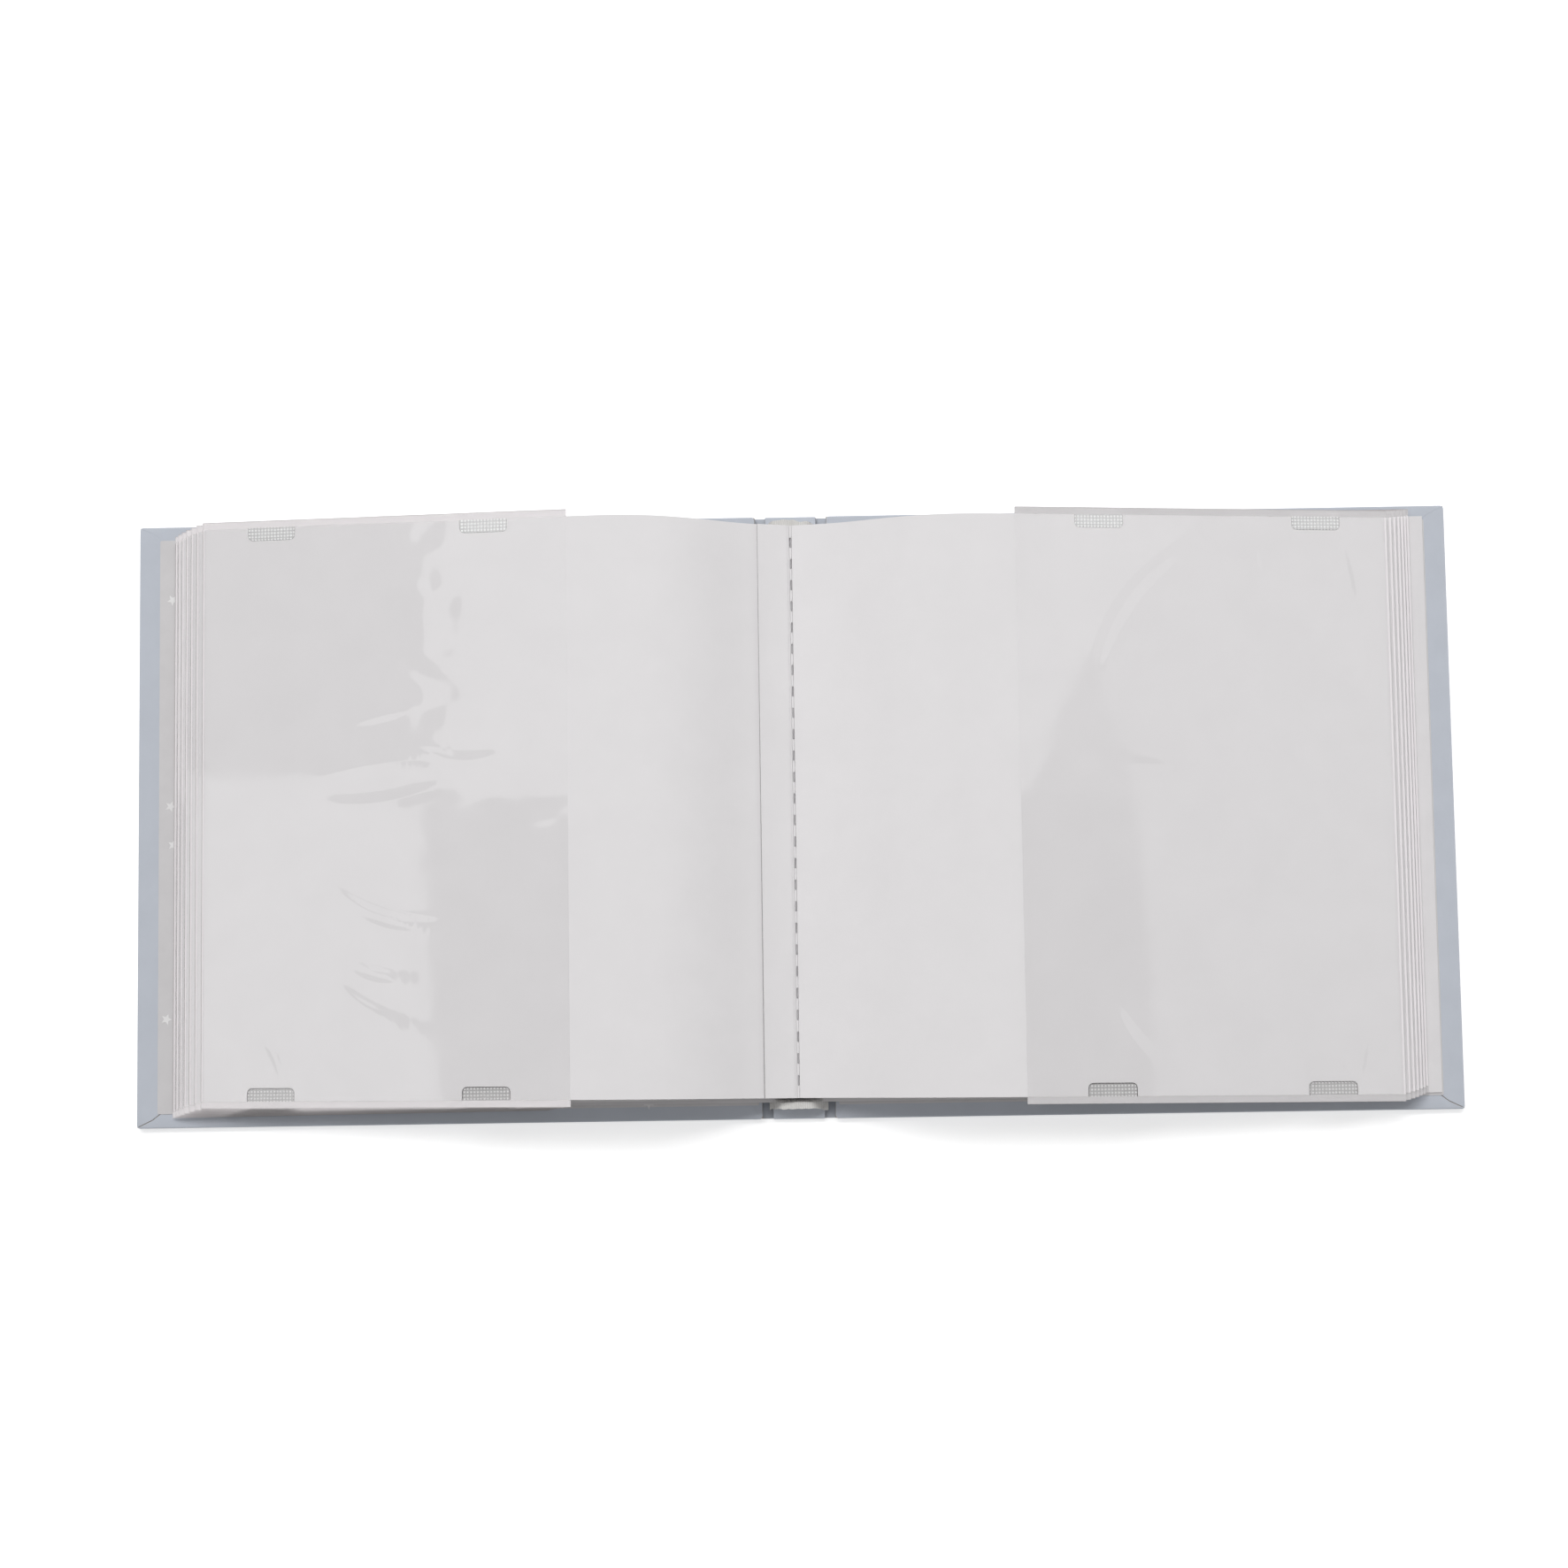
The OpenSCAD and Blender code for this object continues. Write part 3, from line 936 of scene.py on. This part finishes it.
@dataclass
class SewnBlock:
    """Nested folds of the leaves, the running stitch that holds them, and the lining under them."""

    count: int = 7
    paper_t: float = 0.26 * MM
    stitch_pitch: float = 6.2 * MM
    stitch_l: float = 3.1 * MM
    stitches: int = 26
    thread_r: float = 0.13 * MM
    thread_x: float = 0.12 * MM
    slit: tuple[float, float] = (-0.14 * MM, 0.34 * MM)
    end_slit: float = -0.3 * MM
    slit_straight: float = 0.85
    thread_over: float = 0.1 * MM
    bow: float = 0.8 * MM
    guard_over: float = 0.3 * MM
    guard_lift: float = 0.08 * MM
    dip_from: float = 0.28 * MM
    dip_run: float = 0.14 * MM
    dip: float = 0.3 * MM
    fray: tuple[float, float] = (2.2 * MM, 0.6 * MM)
    tuft: float = 4.5 * MM
    puff: float = 4.6 * MM
    closed_half: float = 7.1 * MM
    puff_l: tuple[float, float] = (1.7 * MM, 2.85 * MM)
    reach: tuple[float, float] = (1.0 * MM, 0.0)
    lift_y: float = 1.0 * MM

    def stitch_y(self, k: int) -> float:
        """Gives the middle of a stitch along the fold."""
        return (k - (self.stitches - 1) / 2) * self.stitch_pitch + self.lift_y

    def slits(self, sheet: BMesh) -> None:
        """Cuts a slit for every stitch, the last one wider.

        Args:
            sheet: The flat top fold in work.
        """
        long = self.stitch_l / 2
        side = long * self.slit_straight
        for k in range(self.stitches):
            y = self.stitch_y(k)
            left, right = self.slit
            if k == self.stitches - 1:
                left = self.end_slit
            middle = (left + right) / 2
            corners = ((right, y - side), (right, y + side), (middle, y + long),
                       (left, y + side), (left, y - side), (middle, y - long))
            cut_outline(sheet, [Vector((*corner, 0.0)) for corner in corners])

    def folds(self) -> None:
        """Makes the nested folded sheets, the top one with a slit at every stitch."""
        low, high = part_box("fold_guards")
        whole = bmesh.new()
        for number in range(1, self.count + 1):
            pivot = joint_named(f"back_fold_{number}")["pos_m"]
            half, inner = pivot[0] + self.guard_over, pivot[0] - self.dip_from
            middle = pivot[2] - self.paper_t / 2 + self.guard_lift
            sheet = flat_sheet(2 * half, high.y - low.y, 12, 2)
            bmesh.ops.translate(sheet, vec=(-half, self.lift_y, 0.0), verts=sheet.verts)
            if number == 1:
                self.slits(sheet)
            thicken(sheet, self.paper_t)

            def trough(p: Vector) -> Vector:
                """Lets the sheet dip under the edges of its two leaves."""
                past = max(0.0, abs(p.x) - inner) / self.dip_run
                return Vector((p.x, p.y, middle - self.dip * min(1.0, past) + p.z))

            settle(sheet, trough)
            gather(whole, sheet)
        bmesh.ops.recalc_face_normals(whole, faces=whole.faces)
        seat(make_piece(whole, "nested_folds", [LEAF]), "spine", "fold_guards")

    def thread(self) -> None:
        """Makes the running stitch, each stitch bowed from hole to hole."""
        top = joint_named("back_fold_1")["pos_m"][2] + self.thread_over - self.thread_r
        reach = self.stitch_l / 2 - self.thread_r
        steps, around = 12, 8
        whole = bmesh.new()
        for k in range(self.stitches):
            path = []
            for s in range(steps + 1):
                turn = math.pi * s / steps
                y = self.stitch_y(k) - reach * math.cos(turn)
                path.append(Vector((self.thread_x, y, top - self.bow * (1.0 - math.sin(turn)) ** 4)))
            rings = []
            for s, point in enumerate(path):
                along = (path[min(s + 1, steps)] - path[max(s - 1, 0)]).normalized()
                out = Vector((0.0, -along.z, along.y))
                ring = []
                for a in range(around):
                    angle = math.tau * a / around
                    spoke = math.cos(angle) * Vector((1.0, 0.0, 0.0)) + math.sin(angle) * out
                    ring.append(whole.verts.new(point + self.thread_r * spoke))
                rings.append(ring)
            for one, other in zip(rings, rings[1:]):
                for a in range(around):
                    b = (a + 1) % around
                    whole.faces.new((one[a], one[b], other[b], other[a]))
        bmesh.ops.holes_fill(whole, edges=[e for e in whole.edges if e.is_boundary])
        bmesh.ops.recalc_face_normals(whole, faces=whole.faces)
        seat(make_piece(whole, "running_stitch", [THREAD], 60.0), "spine", "sewing_thread")

    def lining(self) -> None:
        """Makes the soft lining strip with its ragged ends."""
        low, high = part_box("spine_lining")
        size = high - low
        bm = flat_sheet(size.x, size.y, 40, 90)
        bmesh.ops.translate(bm, vec=(low.x, 0.0, 0.0), verts=bm.verts)
        thicken(bm, size.z)
        half = size.y / 2

        def soft(p: Vector) -> Vector:
            """Rounds the strip's edges, and lets its ends fray and swell up between the closed covers."""
            across = abs(p.x) / (size.x / 2)
            y = half * math.sin(math.pi / 2 * p.y / half)
            near_end = max(0.0, 1 - (half - abs(y)) / self.puff_l[0 if y > 0 else 1])
            side = math.copysign(4.0, y)
            fray = noise.noise(Vector((p.x / self.fray[0], p.z / self.fray[1], side)))
            tuft = noise.noise(Vector((p.x / self.tuft, 0.3, side + 3.0)))
            more = self.reach[0 if y > 0 else 1] * (1 - across ** 2)
            ragged = (0.5 * fray + 0.6 * tuft - 0.4 * across ** 6) * MM
            y += math.copysign(near_end * (ragged + more), y)
            between = min(1.0, abs(p.x) / self.closed_half)
            swell = self.puff * min(1.0, 6.0 * near_end) * (1 - between ** 6) * (1 + 0.35 * tuft)
            thin = 1 - 0.6 * across ** 6
            above = (p.z + size.z / 2) / size.z
            return Vector((p.x, y, low.z + above * (size.z * max(0.2, thin) + swell)))

        settle(bm, soft)
        piece = make_piece(bm, "lining_strip", [LINING], 60.0)
        seat(piece, "spine", "spine_lining")

    def build(self) -> None:
        """Builds the folds, the stitch and the lining."""
        self.folds()
        self.thread()
        self.lining()


# Case


@dataclass
class Case:
    """Hard case: boards wrapped in covering paper, the spine between them, and the endpapers."""

    edge_r: float = 0.45 * MM
    corner_r: float = 0.9 * MM
    seam_w: float = 0.26 * MM
    seam_wall: float = 0.03 * MM
    seam_path: tuple[tuple[float, float], ...] = (
        (0.6 * MM, 0.5 * MM), (4.6 * MM, 2.4 * MM), (7.2 * MM, 4.4 * MM), (10.5 * MM, 7.4 * MM))
    seam_deep: dict[End, float] = field(
        default_factory=lambda: {End.HEAD: 0.05 * MM, End.TAIL: 0.3 * MM})
    joint_t: float = 0.22 * MM
    joint_mid: float = 0.13 * MM
    joint_lap: float = 0.5 * MM
    joint_short: float = 0.3 * MM
    spine_r: float = 0.3 * MM
    print_edge_r: float = 0.06 * MM
    print_corner_r: float = 0.5 * MM
    star_r: float = 1.7 * MM
    star_waist: float = 0.42
    star_t: float = 0.02 * MM
    star_gap: float = 11.5 * MM
    fly_lift: float = 0.8 * MM

    @staticmethod
    def wrapped_block(low: Vector, high: Vector, edge_r: float, corner_r: float) -> BMesh:
        """Starts a block with softly rounded edges.

        Args:
            low: Lowest corner.
            high: Highest corner.
            edge_r: Radius of the long edges.
            corner_r: Radius of the upright edges.

        Returns:
            The new mesh in work.
        """
        bm = bmesh.new()
        bmesh.ops.create_cube(bm, size=1.0)
        bmesh.ops.scale(bm, vec=high - low, verts=bm.verts)
        bmesh.ops.translate(bm, vec=(low + high) / 2, verts=bm.verts)
        upright = [e for e in bm.edges if abs((e.verts[0].co - e.verts[1].co).z) > 1e-6]
        bmesh.ops.bevel(
            bm, geom=upright, offset=corner_r, affect="EDGES", segments=4, profile=0.5, material=-1)
        rim = [e for e in bm.edges if len(e.link_faces) == 2
               and abs(abs(e.link_faces[0].normal.z) - abs(e.link_faces[1].normal.z)) > HALF_UP]
        bmesh.ops.bevel(bm, geom=rim, offset=edge_r, affect="EDGES", segments=3, profile=0.5, material=-1)
        return bm

    def press_seam(self, bm: BMesh, start: Vector, end: Vector, deep: float) -> None:
        """Presses one straight leg of the seam between two mitred turn-ins into the inside of a cover.

        Args:
            bm: The cover's mesh in work.
            start: Where the leg starts, on the cover's inside face.
            end: Where it ends.
            deep: Depth of the seam.
        """
        along, far = (end - start).normalized(), (end - start).length
        across = Vector((-along.y, along.x, 0.0))
        cuts = [(start + across * self.seam_w / 2, across), (start - across * self.seam_w / 2, across),
                (start, along), (end, along)]
        for where, normal in cuts:
            slice_faces(bm, [f for f in bm.faces if f.normal.z > FACES_UP], where, normal)
            bm.normal_update()
        strip = []
        for face in (f for f in bm.faces if f.normal.z > FACES_UP):
            gap = face.calc_center_median() - start
            if abs(gap.dot(across)) < self.seam_w / 2 and 0.0 < gap.dot(along) < far:
                strip.append(face)
        bmesh.ops.inset_region(bm, faces=strip, thickness=self.seam_wall, depth=-deep)

    def cover(self, side: Side) -> None:
        """Makes the covering paper of one cover.

        Args:
            side: The half of the album.
        """
        low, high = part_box(f"{side.value}_covering")
        bm = self.wrapped_block(low, high, self.edge_r, self.corner_r)
        fore = low.x if side is Side.FRONT else high.x
        for end in End:
            corner = Vector((fore, high.y * end.value, high.z))
            spots = [corner + Vector((-side.sign * x, -end.value * y, 0.0)) for x, y in self.seam_path]
            for spot, following in zip(spots, spots[1:]):
                self.press_seam(bm, spot, following, self.seam_deep[end])
        piece = make_piece(bm, f"{side.value}_cover_paper", [COVERING], 40.0)
        seat(piece, f"{side.value}_cover", f"{side.value}_covering")

    def joint_paper(self, side: Side) -> None:
        """Makes the covering paper in the groove between spine and cover, as a flat strip.

        Args:
            side: The half of the album.
        """
        low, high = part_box(f"{side.value}_joint")
        inner, outer = min(abs(low.x), abs(high.x)), max(abs(low.x), abs(high.x))
        lap = self.joint_lap
        bm = flat_sheet(outer - inner + 2 * lap, high.y - low.y - self.joint_short, 16, 8)
        thicken(bm, self.joint_t)
        settle(bm, lambda p: Vector((side.sign * (inner - lap + p.x), p.y, self.joint_mid + p.z)))
        bmesh.ops.recalc_face_normals(bm, faces=bm.faces)
        piece = make_piece(bm, f"{side.value}_joint_paper", [COVERING])
        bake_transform(piece)
        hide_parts(f"{side.value}_joint")

    def spine(self) -> None:
        """Makes the covering paper of the spine."""
        low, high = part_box("spine_covering")
        bm = self.wrapped_block(low, high, self.spine_r, self.spine_r)
        seat(make_piece(bm, "spine_paper", [COVERING], 40.0), "spine", "spine_covering")

    def star(self, whole: BMesh, where: Vector, turn: float) -> None:
        """Adds one small star print to a sheet.

        Args:
            whole: The sheet's mesh in work.
            where: Middle of the star on the sheet.
            turn: The star's turn in radians.
        """
        ring = bmesh.ops.create_circle(whole, cap_ends=True, segments=10, radius=self.star_r)["verts"]
        for k, vert in enumerate(ring):
            if k % 2:
                vert.co *= self.star_waist
        face = next(f for f in ring[0].link_faces)
        face.material_index = 1
        grown = bmesh.ops.extrude_face_region(whole, geom=[face], use_keep_orig=True)["geom"]
        lifted = [g for g in grown if isinstance(g, BMVert)]
        bmesh.ops.translate(whole, vec=(0.0, 0.0, self.star_t), verts=lifted)
        both = list(ring) + lifted
        for face in {f for v in both for f in v.link_faces}:
            face.material_index = 1
        bmesh.ops.rotate(whole, verts=both, cent=(0, 0, 0), matrix=Matrix.Rotation(turn, 3, "Z"))
        bmesh.ops.translate(whole, vec=where, verts=both)

    def pastedown(self, side: Side) -> None:
        """Makes the grey endpaper inside one cover with its scattered stars.

        Args:
            side: The half of the album.
        """
        low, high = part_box(f"{side.value}_pastedown")
        bm = self.wrapped_block(low, high, self.print_edge_r, self.print_corner_r)
        dice = random.Random(5 if side is Side.FRONT else 9)
        columns = int((high.x - low.x) / self.star_gap)
        rows = int((high.y - low.y) / self.star_gap)
        for column in range(columns):
            for row in range(rows):
                across = column + 0.5 + dice.uniform(-0.3, 0.3)
                along = row + 0.5 + 0.4 * (column % 2) - 0.2 + dice.uniform(-0.25, 0.25)
                x = low.x + across * (high.x - low.x) / columns
                y = low.y + along * (high.y - low.y) / rows
                self.star(bm, Vector((x, y, high.z)), dice.uniform(0, math.tau))
        bmesh.ops.recalc_face_normals(bm, faces=bm.faces)
        piece = make_piece(bm, f"{side.value}_pastedown_print", [ENDPAPER, STAR])
        seat(piece, f"{side.value}_cover", f"{side.value}_pastedown")

    def flyleaf(self, side: Side) -> None:
        """Makes the free half of an endpaper, white above and grey below.

        Args:
            side: The half of the album.
        """
        low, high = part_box(f"{side.value}_flyleaf")
        bm = flat_sheet(high.x - low.x, high.y - low.y, 30, 24)
        bmesh.ops.translate(bm, vec=(low.x, 0.0, 0.0), verts=bm.verts)
        thicken(bm, high.z - low.z)
        for face in bm.faces:
            face.material_index = 1 if face.normal.z < -HALF_UP else 0
        bmesh.ops.translate(bm, vec=(0.0, self.fly_lift, (low.z + high.z) / 2), verts=bm.verts)
        piece = make_piece(bm, f"{side.value}_flyleaf_sheet", [FLYLEAF, ENDPAPER])
        seat(piece, f"{side.value}_flyleaf", f"{side.value}_flyleaf")

    def boards(self) -> None:
        """Gives the hidden boards their finish."""
        for node in ("front_board", "back_board", "spine_strip"):
            mesh = frame["nodes"][node].data
            mesh.materials.clear()
            mesh.materials.append(BOARD.material())

    def build(self) -> None:
        """Builds both covers, the spine and the endpapers."""
        self.spine()
        self.boards()
        for side in Side:
            self.cover(side)
            self.joint_paper(side)
            self.pastedown(side)
            self.flyleaf(side)


# Studio


@dataclass
class Studio:
    """Plain studio: pale floor, soft light from the head side, white surroundings, and the camera."""

    distance: float = 0.825
    azimuth_deg: float = 6.781
    elevation_deg: float = 84.762
    roll_deg: float = -7.682
    focal_px: float = 3211.1
    centre_px: tuple[float, float] = (898.16, 921.85)
    ambient: float = 0.384
    mirrored: float = 0.8
    floor_glow: float = 0.5
    key_watts: float = 27.2
    fill_watts: float = 0.37
    clear_layers: int = 64
    floor_half: float = 3.0
    floor_gap: float = 0.2 * MM
    card_z: float = 0.84

    def camera(self) -> None:
        """Places the camera as the photograph was taken, looking at the middle of the spine."""
        data = bpy.data.cameras.new("camera")
        data.sensor_width = 36.0
        data.lens = self.focal_px / IMAGE_PX * data.sensor_width
        data.shift_x = (IMAGE_PX / 2 - self.centre_px[0]) / IMAGE_PX
        data.shift_y = (self.centre_px[1] - IMAGE_PX / 2) / IMAGE_PX
        data.clip_start = 0.01
        camera = bpy.data.objects.new("camera", data)
        a, e = math.radians(self.azimuth_deg), math.radians(self.elevation_deg)
        back = Vector((math.sin(a) * math.cos(e), -math.cos(a) * math.cos(e), math.sin(e)))
        roll = Matrix.Rotation(math.radians(self.roll_deg), 3, "Z")
        aim = (-back).to_track_quat("-Z", "Y").to_matrix() @ roll
        camera.matrix_world = Matrix.Translation(back * self.distance) @ aim.to_4x4()
        bpy.context.scene.collection.objects.link(camera)
        bpy.context.scene.camera = camera

    def lamp(self, name: str, where: Vector, size: tuple[float, float], watts: float) -> None:
        """Adds one soft lamp that looks at the album, out of sight of the mirror gloss.

        Args:
            name: The lamp's name.
            where: Its place.
            size: Its width and height.
            watts: Its power.
        """
        data = bpy.data.lights.new(name, "AREA")
        data.shape = "RECTANGLE"
        data.size, data.size_y = size
        data.energy = watts
        lamp = bpy.data.objects.new(name, data)
        lamp.visible_glossy = False
        lamp.matrix_world = Matrix.Translation(where) @ (-where).to_track_quat("-Z", "Y").to_matrix().to_4x4()
        bpy.context.scene.collection.objects.link(lamp)

    def surroundings(self) -> None:
        """Makes the world: white where it is seen or mirrored, dimmer as light."""
        world = bpy.data.worlds.new("surroundings")
        tree = clean_tree(world)
        path = add_node(tree, "ShaderNodeLightPath").outputs
        share = add_node(tree, "ShaderNodeMath", {0: path["Is Glossy Ray"], 1: path["Is Transmission Ray"]},
                         operation="MAXIMUM")
        dim = add_node(tree, "ShaderNodeMapRange", {0: share, 3: self.ambient, 4: self.mirrored})
        strength = add_node(tree, "ShaderNodeMath", {0: dim, 1: path["Is Camera Ray"]},
                            operation="MAXIMUM")
        light = add_node(tree, "ShaderNodeBackground", {
            "Color": (1.0, 1.0, 1.0, 1.0), "Strength": strength})
        add_node(tree, "ShaderNodeOutputWorld", {"Surface": light})
        bpy.context.scene.world = world

    @staticmethod
    def prop(name: str, bm: BMesh, material: Material) -> Object:
        """Adds a thing of the studio that isn't part of the album.

        Args:
            name: Its name.
            bm: Its mesh in work, which is freed.
            material: Its material.

        Returns:
            The new object.
        """
        mesh = bpy.data.meshes.new(name)
        bm.to_mesh(mesh)
        bm.free()
        mesh.materials.append(material)
        thing = bpy.data.objects.new(name, mesh)
        bpy.context.scene.collection.objects.link(thing)
        return thing

    def floor(self) -> None:
        """Makes the pale floor, which keeps the album's shadow."""
        bm = bmesh.new()
        bmesh.ops.create_grid(bm, x_segments=1, y_segments=1, size=self.floor_half)
        bmesh.ops.translate(bm, vec=(0.0, 0.0, -self.floor_gap), verts=bm.verts)
        material = bpy.data.materials.new("floor_white")
        tree = clean_tree(material)
        matt = add_node(tree, "ShaderNodeBsdfDiffuse", {"Color": linear("#F0F0F0")})
        path = add_node(tree, "ShaderNodeLightPath").outputs
        straight = add_node(tree, "ShaderNodeMath", {0: path["Is Camera Ray"], 1: path["Is Glossy Ray"]},
                            operation="MAXIMUM")
        seen = add_node(tree, "ShaderNodeMath", {0: straight, 1: path["Is Transmission Ray"]},
                        operation="MAXIMUM")
        glow = add_node(tree, "ShaderNodeMath", {0: seen, 1: self.floor_glow},
                        operation="MULTIPLY")
        light = add_node(tree, "ShaderNodeEmission", {"Strength": glow})
        both = add_node(tree, "ShaderNodeAddShader", {0: matt, 1: light})
        add_node(tree, "ShaderNodeOutputMaterial", {"Surface": both})
        self.prop("floor", bm, material)

    def card(self, name: str, corners: Sequence[tuple[float, float]], tail: float, head: float) -> None:
        """Hangs a card that shows only in mirror gloss, as the dark stand over the table does.

        Args:
            name: The card's name.
            corners: Its corners in X and Y.
            tail: How bright it is towards the tail.
            head: How bright it is towards the head.
        """
        bm = bmesh.new()
        bm.faces.new([bm.verts.new((x, y, self.card_z)) for x, y in corners])
        material = bpy.data.materials.new(name)
        tree = clean_tree(material)
        where = add_node(tree, "ShaderNodeTexCoord").outputs["Object"]
        along = add_node(tree, "ShaderNodeSeparateXYZ", {0: where}).outputs["Y"]
        glow = add_node(tree, "ShaderNodeMapRange", {0: along, 1: -0.1, 2: 0.25, 3: tail, 4: head})
        light = add_node(tree, "ShaderNodeEmission", {"Strength": glow})
        add_node(tree, "ShaderNodeOutputMaterial", {"Surface": light})
        card = self.prop(name, bm, material)
        for ray in ("camera", "diffuse", "transmission", "volume_scatter", "shadow"):
            setattr(card, f"visible_{ray}", False)

    def build(self) -> None:
        """Builds the camera, the light and the floor."""
        self.camera()
        self.surroundings()
        self.floor()
        self.lamp("key", Vector((-0.24, 0.94, 1.9)), (1.8, 0.6), self.key_watts)
        self.lamp("fill", Vector((0.62, 0.05, 0.06)), (0.3, 0.1), self.fill_watts)
        self.card("stand", ((-0.45, -0.4), (0.38, -0.4), (0.369, -0.015), (0.36, 0.085), (-0.49, 0.09)),
                  0.02, 0.02)
        self.card("stand_arm", ((0.3, 0.086), (0.36, 0.085), (0.338, 0.175)), 0.05, 0.3)
        self.card("side_card", ((-0.8, 0.112), (-0.482, 0.112), (-0.482, 0.45), (-0.8, 0.45)), 0.02, 0.02)
        self.card("grey_wall", ((0.373, -0.13), (0.575, -0.13), (0.575, 0.383), (0.47, 0.33), (0.4, 0.24),
                                (0.338, 0.175), (0.36, 0.085), (0.369, -0.015)), 0.45, 0.58)
        self.card("doorway", ((0.38, -0.4), (0.8, -0.4), (0.8, 0.45), (0.575, 0.38), (0.575, -0.13),
                              (0.373, -0.13)), 0.02, 0.02)
        self.card("table_end", ((-0.8, -0.6), (-0.47, -0.6), (-0.47, -0.11), (-0.675, -0.11), (-0.675, 0.11),
                                (-0.8, 0.11)), 0.02, 0.02)
        bpy.context.scene.view_settings.view_transform = "Standard"
        bpy.context.scene.cycles.transparent_max_bounces = self.clear_layers


FRONT_SLACKS = (Slack((106.0, 48.0), (13.0, 34.0), 0.11), Slack((76.0, 1.0), (13.0, 10.0), 0.07))
FRONT_CREASES = (
    Crease((129.0, 25.0), (116.0, 28.0), (105.0, 30.0), 1.4, 0.09),
    Crease((137.0, 10.0), (118.0, 14.5), (104.0, 14.0), 1.6, 0.14),
    Crease((135.0, 2.0), (120.0, 0.0), (104.0, 6.0), 1.6, 0.14),
    Crease((109.0, 19.0), (97.0, 15.0), (85.0, 17.5), 1.7, 0.13),
    Crease((137.0, -20.0), (123.0, -35.0), (98.0, -33.0), 2.2, 0.27),
    Crease((133.0, -41.0), (124.0, -48.0), (112.0, -48.0), 1.8, 0.2),
    Crease((135.0, -48.0), (126.0, -58.0), (112.0, -61.0), 1.8, 0.22, 2.4),
    Crease((156.0, -64.0), (150.0, -69.0), (149.0, -79.0), 1.0, 0.12),
)
BACK_CREASES = (
    Crease((113.0, 76.0), (92.0, 63.0), (87.0, 44.0), 1.5, 0.12),
    Crease((111.0, 68.0), (98.0, 58.0), (91.0, 40.0), 1.4, 0.13),
    Crease((91.0, -58.0), (94.0, -66.0), (101.0, -72.0), 1.4, 0.12),
    Crease((97.0, 14.0), (116.0, 11.0), (137.0, 10.0), 1.6, 0.13),
    Crease((136.0, 74.0), (137.0, 66.0), (140.0, 62.0), 1.1, 0.11),
    Crease((159.0, 77.0), (162.0, 66.0), (163.0, 56.0), 1.1, 0.11),
    Crease((118.0, -46.0), (126.0, -42.0), (140.0, -40.0), 1.5, 0.1),
    Crease((155.0, -71.0), (155.0, -75.0), (155.5, -79.0), 0.9, 0.09),
    Crease((162.5, -66.0), (161.0, -73.0), (160.0, -79.0), 0.9, 0.1),
)


def main() -> None:
    """Builds the album and the studio."""
    logging.basicConfig(level=logging.INFO, format="%(name)s: %(message)s")
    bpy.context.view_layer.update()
    Studio().build()
    Case().build()
    SewnBlock().build()
    Sleeves(Side.FRONT, slacks=FRONT_SLACKS, creases=FRONT_CREASES).build()
    Sleeves(Side.BACK, creases=BACK_CREASES).build()


if __name__ == "__main__":
    main()
